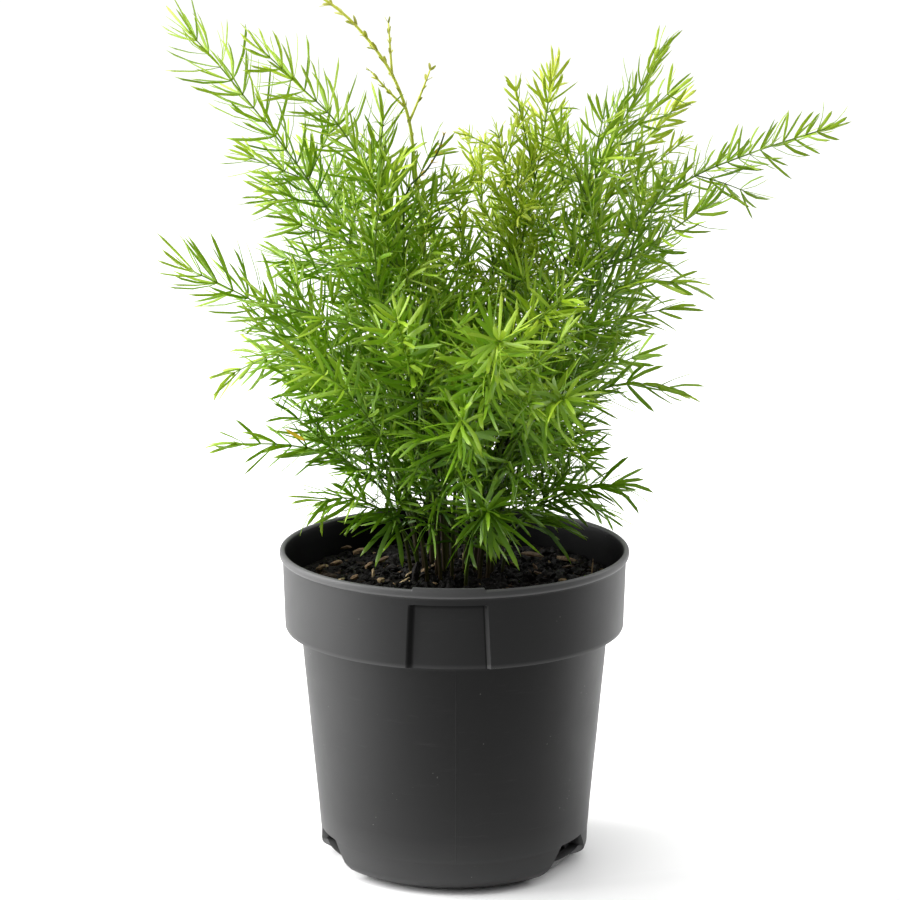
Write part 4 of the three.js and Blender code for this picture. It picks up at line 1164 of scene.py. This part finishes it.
# What lies on the soil: how many, the half sizes of the smallest and largest in three directions, how
# steeply they lie, and the shades they take from dark to tan.
LITTER = [
    (1500, (0.6, 0.5, 0.4), (1.9, 1.4, 1.2), 3.0, (0.0, 0.5)),
    (330, (1.6, 0.9, 0.6), (4.2, 2.2, 1.4), 0.8, (0.1, 0.62)),
    (110, (1.0, 0.6, 0.4), (2.6, 1.3, 0.9), 1.0, (0.55, 0.82)),
    (90, (0.6, 0.4, 0.3), (1.4, 0.8, 0.6), 1.2, (0.86, 1.0)),
    (90, (2.5, 0.22, 0.22), (6.0, 0.4, 0.4), 0.5, (0.6, 0.9)),
]
LITTER_REACH = 66.0
UP = (0, 0, 1)
# Larger bits near the front, placed one by one: place, half sizes, turn and tilt in degrees, shade.
BITS = [
    ((-16, -14, 126.0), (6.0, 1.9, 1.5), 60, 72, 0.5),
    ((-19, -5, 124.0), (2.4, 0.8, 0.6), 40, 20, 0.97),
    ((-21, -11, 122.5), (2.6, 0.7, 0.6), 30, 20, 1.0), ((-12, -3, 125.5), (2.2, 1.2, 0.9), 20, 25, 0.9),
    ((-8, -1, 127.0), (2.4, 0.8, 0.7), 35, 25, 0.95), ((33, 28, 124.0), (7.5, 2.2, 1.0), -52, 6, 0.78),
    ((48, 22, 123.5), (8.5, 1.2, 0.9), -54, 6, 0.84), ((58, 0, 125.5), (4.6, 0.4, 0.4), 70, 74, 0.9),
    ((45, -8, 122.0), (2.2, 1.0, 0.7), -20, 10, 0.9), ((50, -11, 122.0), (1.6, 0.9, 0.6), 30, 10, 0.82),
    ((65, 9, 122.0), (1.4, 0.8, 0.6), 0, 10, 1.0), ((48, 13, 122.5), (3.6, 1.6, 0.9), -20, 12, 0.72),
    ((-41, 38, 123.0), (3.2, 1.4, 1.2), 15, 20, 0.82), ((-30, 20, 124.0), (4.2, 1.4, 1.1), 35, 15, 0.8),
    ((-36, 12, 123.5), (2.6, 1.1, 1.0), 50, 20, 0.86), ((-47, 46, 122.5), (2.8, 1.2, 0.9), 5, 10, 0.78),
    ((-42, -4, 122.0), (2.0, 1.2, 1.0), 40, 20, 0.88), ((-48, -5, 121.5), (1.8, 0.7, 0.5), 10, 10, 1.0),
    ((-31, -10, 122.5), (1.8, 1.5, 1.3), 0, 10, 0.94),
    ((-34, -3, 124.0), (2.6, 0.7, 0.6), 80, 65, 0.96), ((-57, 15, 121.5), (3.0, 1.5, 1.0), 25, 15, 0.8),
    ((-50, 19, 122.5), (3.4, 1.6, 1.2), -10, 15, 0.84), ((11, -3, 125.5), (2.4, 0.7, 0.7), 80, 82, 1.0),
    ((4, 15, 127.0), (2.0, 0.6, 0.6), 70, 78, 1.0),
]


def make_crumbs(material):
    """Loose lumps of peat, bark chips and fibres on the soil."""
    rng = np.random.default_rng(7)
    ball, ball_faces = icosahedron()
    points, faces, chip = [], [], []

    def add_lump(place, sizes, spin, shade):
        lump = ball * (1 + rng.uniform(-0.3, 0.3, (len(ball), 1))) * sizes
        start = len(points)
        points.extend((lump @ np.array(spin.to_matrix()).T + np.array(place)).tolist())
        faces.extend(tuple(i + start for i in face) for face in ball_faces)
        chip.extend([shade] * len(ball))

    for count, least, most, steep, shades in LITTER:
        for k in range(count):
            radius, turn = LITTER_REACH * math.sqrt(rng.random()), rng.random() * 2 * math.pi
            x, y = round_axis(radius, turn)
            sizes = np.array(least) + (np.array(most) - np.array(least)) * rng.random() ** 1.5
            tilt_axis = Vector((rng.normal(), rng.normal(), 0.0)).normalized()
            spin = Quaternion(tilt_axis, rng.random() * steep)
            spin = spin @ Quaternion(UP, rng.random() * 2 * math.pi)
            place = (x, y, SOIL_LEVEL + soil_height(x, y) + 0.3 * sizes[2])
            add_lump(place, sizes, spin, rng.uniform(*shades))
    for place, sizes, turn, tilt, shade in BITS:
        spin = Quaternion(UP, math.radians(turn)) @ Quaternion((0, -1, 0), math.radians(tilt))
        add_lump(place, np.array(sizes), spin, shade)
    crumbs = new_piece("soil_crumbs", points, faces, (), False, {"chip": chip})
    crumbs.data.materials.append(material)


# ---------------------------------------------------------------- studio


def make_floor(material):
    mesh = bpy.data.meshes.new("studio_floor")
    side = 6.0
    corners = [(-side, -side, 0), (side, -side, 0), (side, side, 0), (-side, side, 0)]
    mesh.from_pydata(corners, [], [(0, 1, 2, 3)])
    floor = place_object("studio_floor", mesh)
    floor.data.materials.append(material)


LIT_PLACE = (0.0, 0.0, 0.2)  # metres, where the lamps point
# The lamps: name, place and size in metres, and power in watts.
LAMPS = [
    ("key_left", (-1.45, 0.1, 0.75), (1.3, 1.4), 46.0),
    ("back_right", (1.4, 0.6, 0.8), (0.8, 1.0), 8.0),
    ("top", (-0.2, -0.1, 1.9), (0.9, 0.9), 17.0),
]


def add_light(name, place, size, power):
    light = bpy.data.lights.new(name, "AREA")
    light.shape = "RECTANGLE"
    light.size, light.size_y = size
    light.energy = power
    lamp = place_object(name, light)
    lamp.location = place
    lamp.rotation_euler = (Vector(LIT_PLACE) - Vector(place)).to_track_quat("-Z", "Y").to_euler()


# The studio's light by direction: the axis, where along it the light starts and is full, and its strength.
STUDIO_LIGHT = (("Y", -0.4, 0.5, 0.7), ("Z", 0.1, 1.0, 0.95), ("X", 0.3, -1.0, 0.5))


def make_world():
    """A white studio: bright above, behind and to the left of the plant, dark behind the camera."""
    s = Shader(bpy.data.worlds.new("studio"), "ShaderNodeOutputWorld")
    place = s.add("ShaderNodeTexCoord").outputs["Generated"]
    direction = s.add("ShaderNodeSeparateXYZ", {0: place}).outputs
    ahead, above, left = (
        s.range(direction[axis], low, high, 0.0, strength) for axis, low, high, strength in STUDIO_LIGHT
    )
    strength = s.math("ADD", s.math("ADD", ahead, above), left)
    light = s.add("ShaderNodeBackground", {"Color": (1.0, 1.0, 1.0, 1.0), "Strength": strength})
    bpy.context.scene.world = s.surface(light.outputs[0])


# The camera stands 1.4 m in front of the pot and looks down on it a little.
CAMERA_PLACE = (-1.85, -1399.0, 488.0)
CAMERA_PITCH = 12.57  # degrees below level
CAMERA_LENS = 137.36


def make_camera():
    lens = bpy.data.cameras.new("camera")
    lens.sensor_width = 36.0
    lens.lens = CAMERA_LENS
    lens.clip_start = 0.05
    lens.clip_end = 50.0
    camera = place_object("camera", lens)
    camera.location = Vector(CAMERA_PLACE) * MM
    camera.rotation_euler = (math.radians(90 - CAMERA_PITCH), 0.0, 0.0)
    bpy.context.scene.camera = camera


# ---------------------------------------------------------------- scene

make_camera()
make_world()
for lamp in LAMPS:
    add_light(*lamp)
make_floor(floor_material())
make_pot(pot_material())
earth = soil_material()
make_soil(earth)
make_crumbs(earth)

leaves = {kind: foliage_material(kind) for kind in SLOTS}
routes = [Route(number, points) for number, points in enumerate(STEMS, 1)]
limbs = Limbs()
for route in routes:
    for start, end in zip(route.nodes, route.nodes[1:]):
        limbs.add(start, end, CAD_STEM_RADIUS, route.name)
for route in routes:
    plan_side_shoots(route, limbs)
for route in routes:
    plan_twigs(route, limbs)
for route in routes:
    grow_stem(route, leaves[route.kind])

bpy.context.scene.view_settings.view_transform = "Standard"
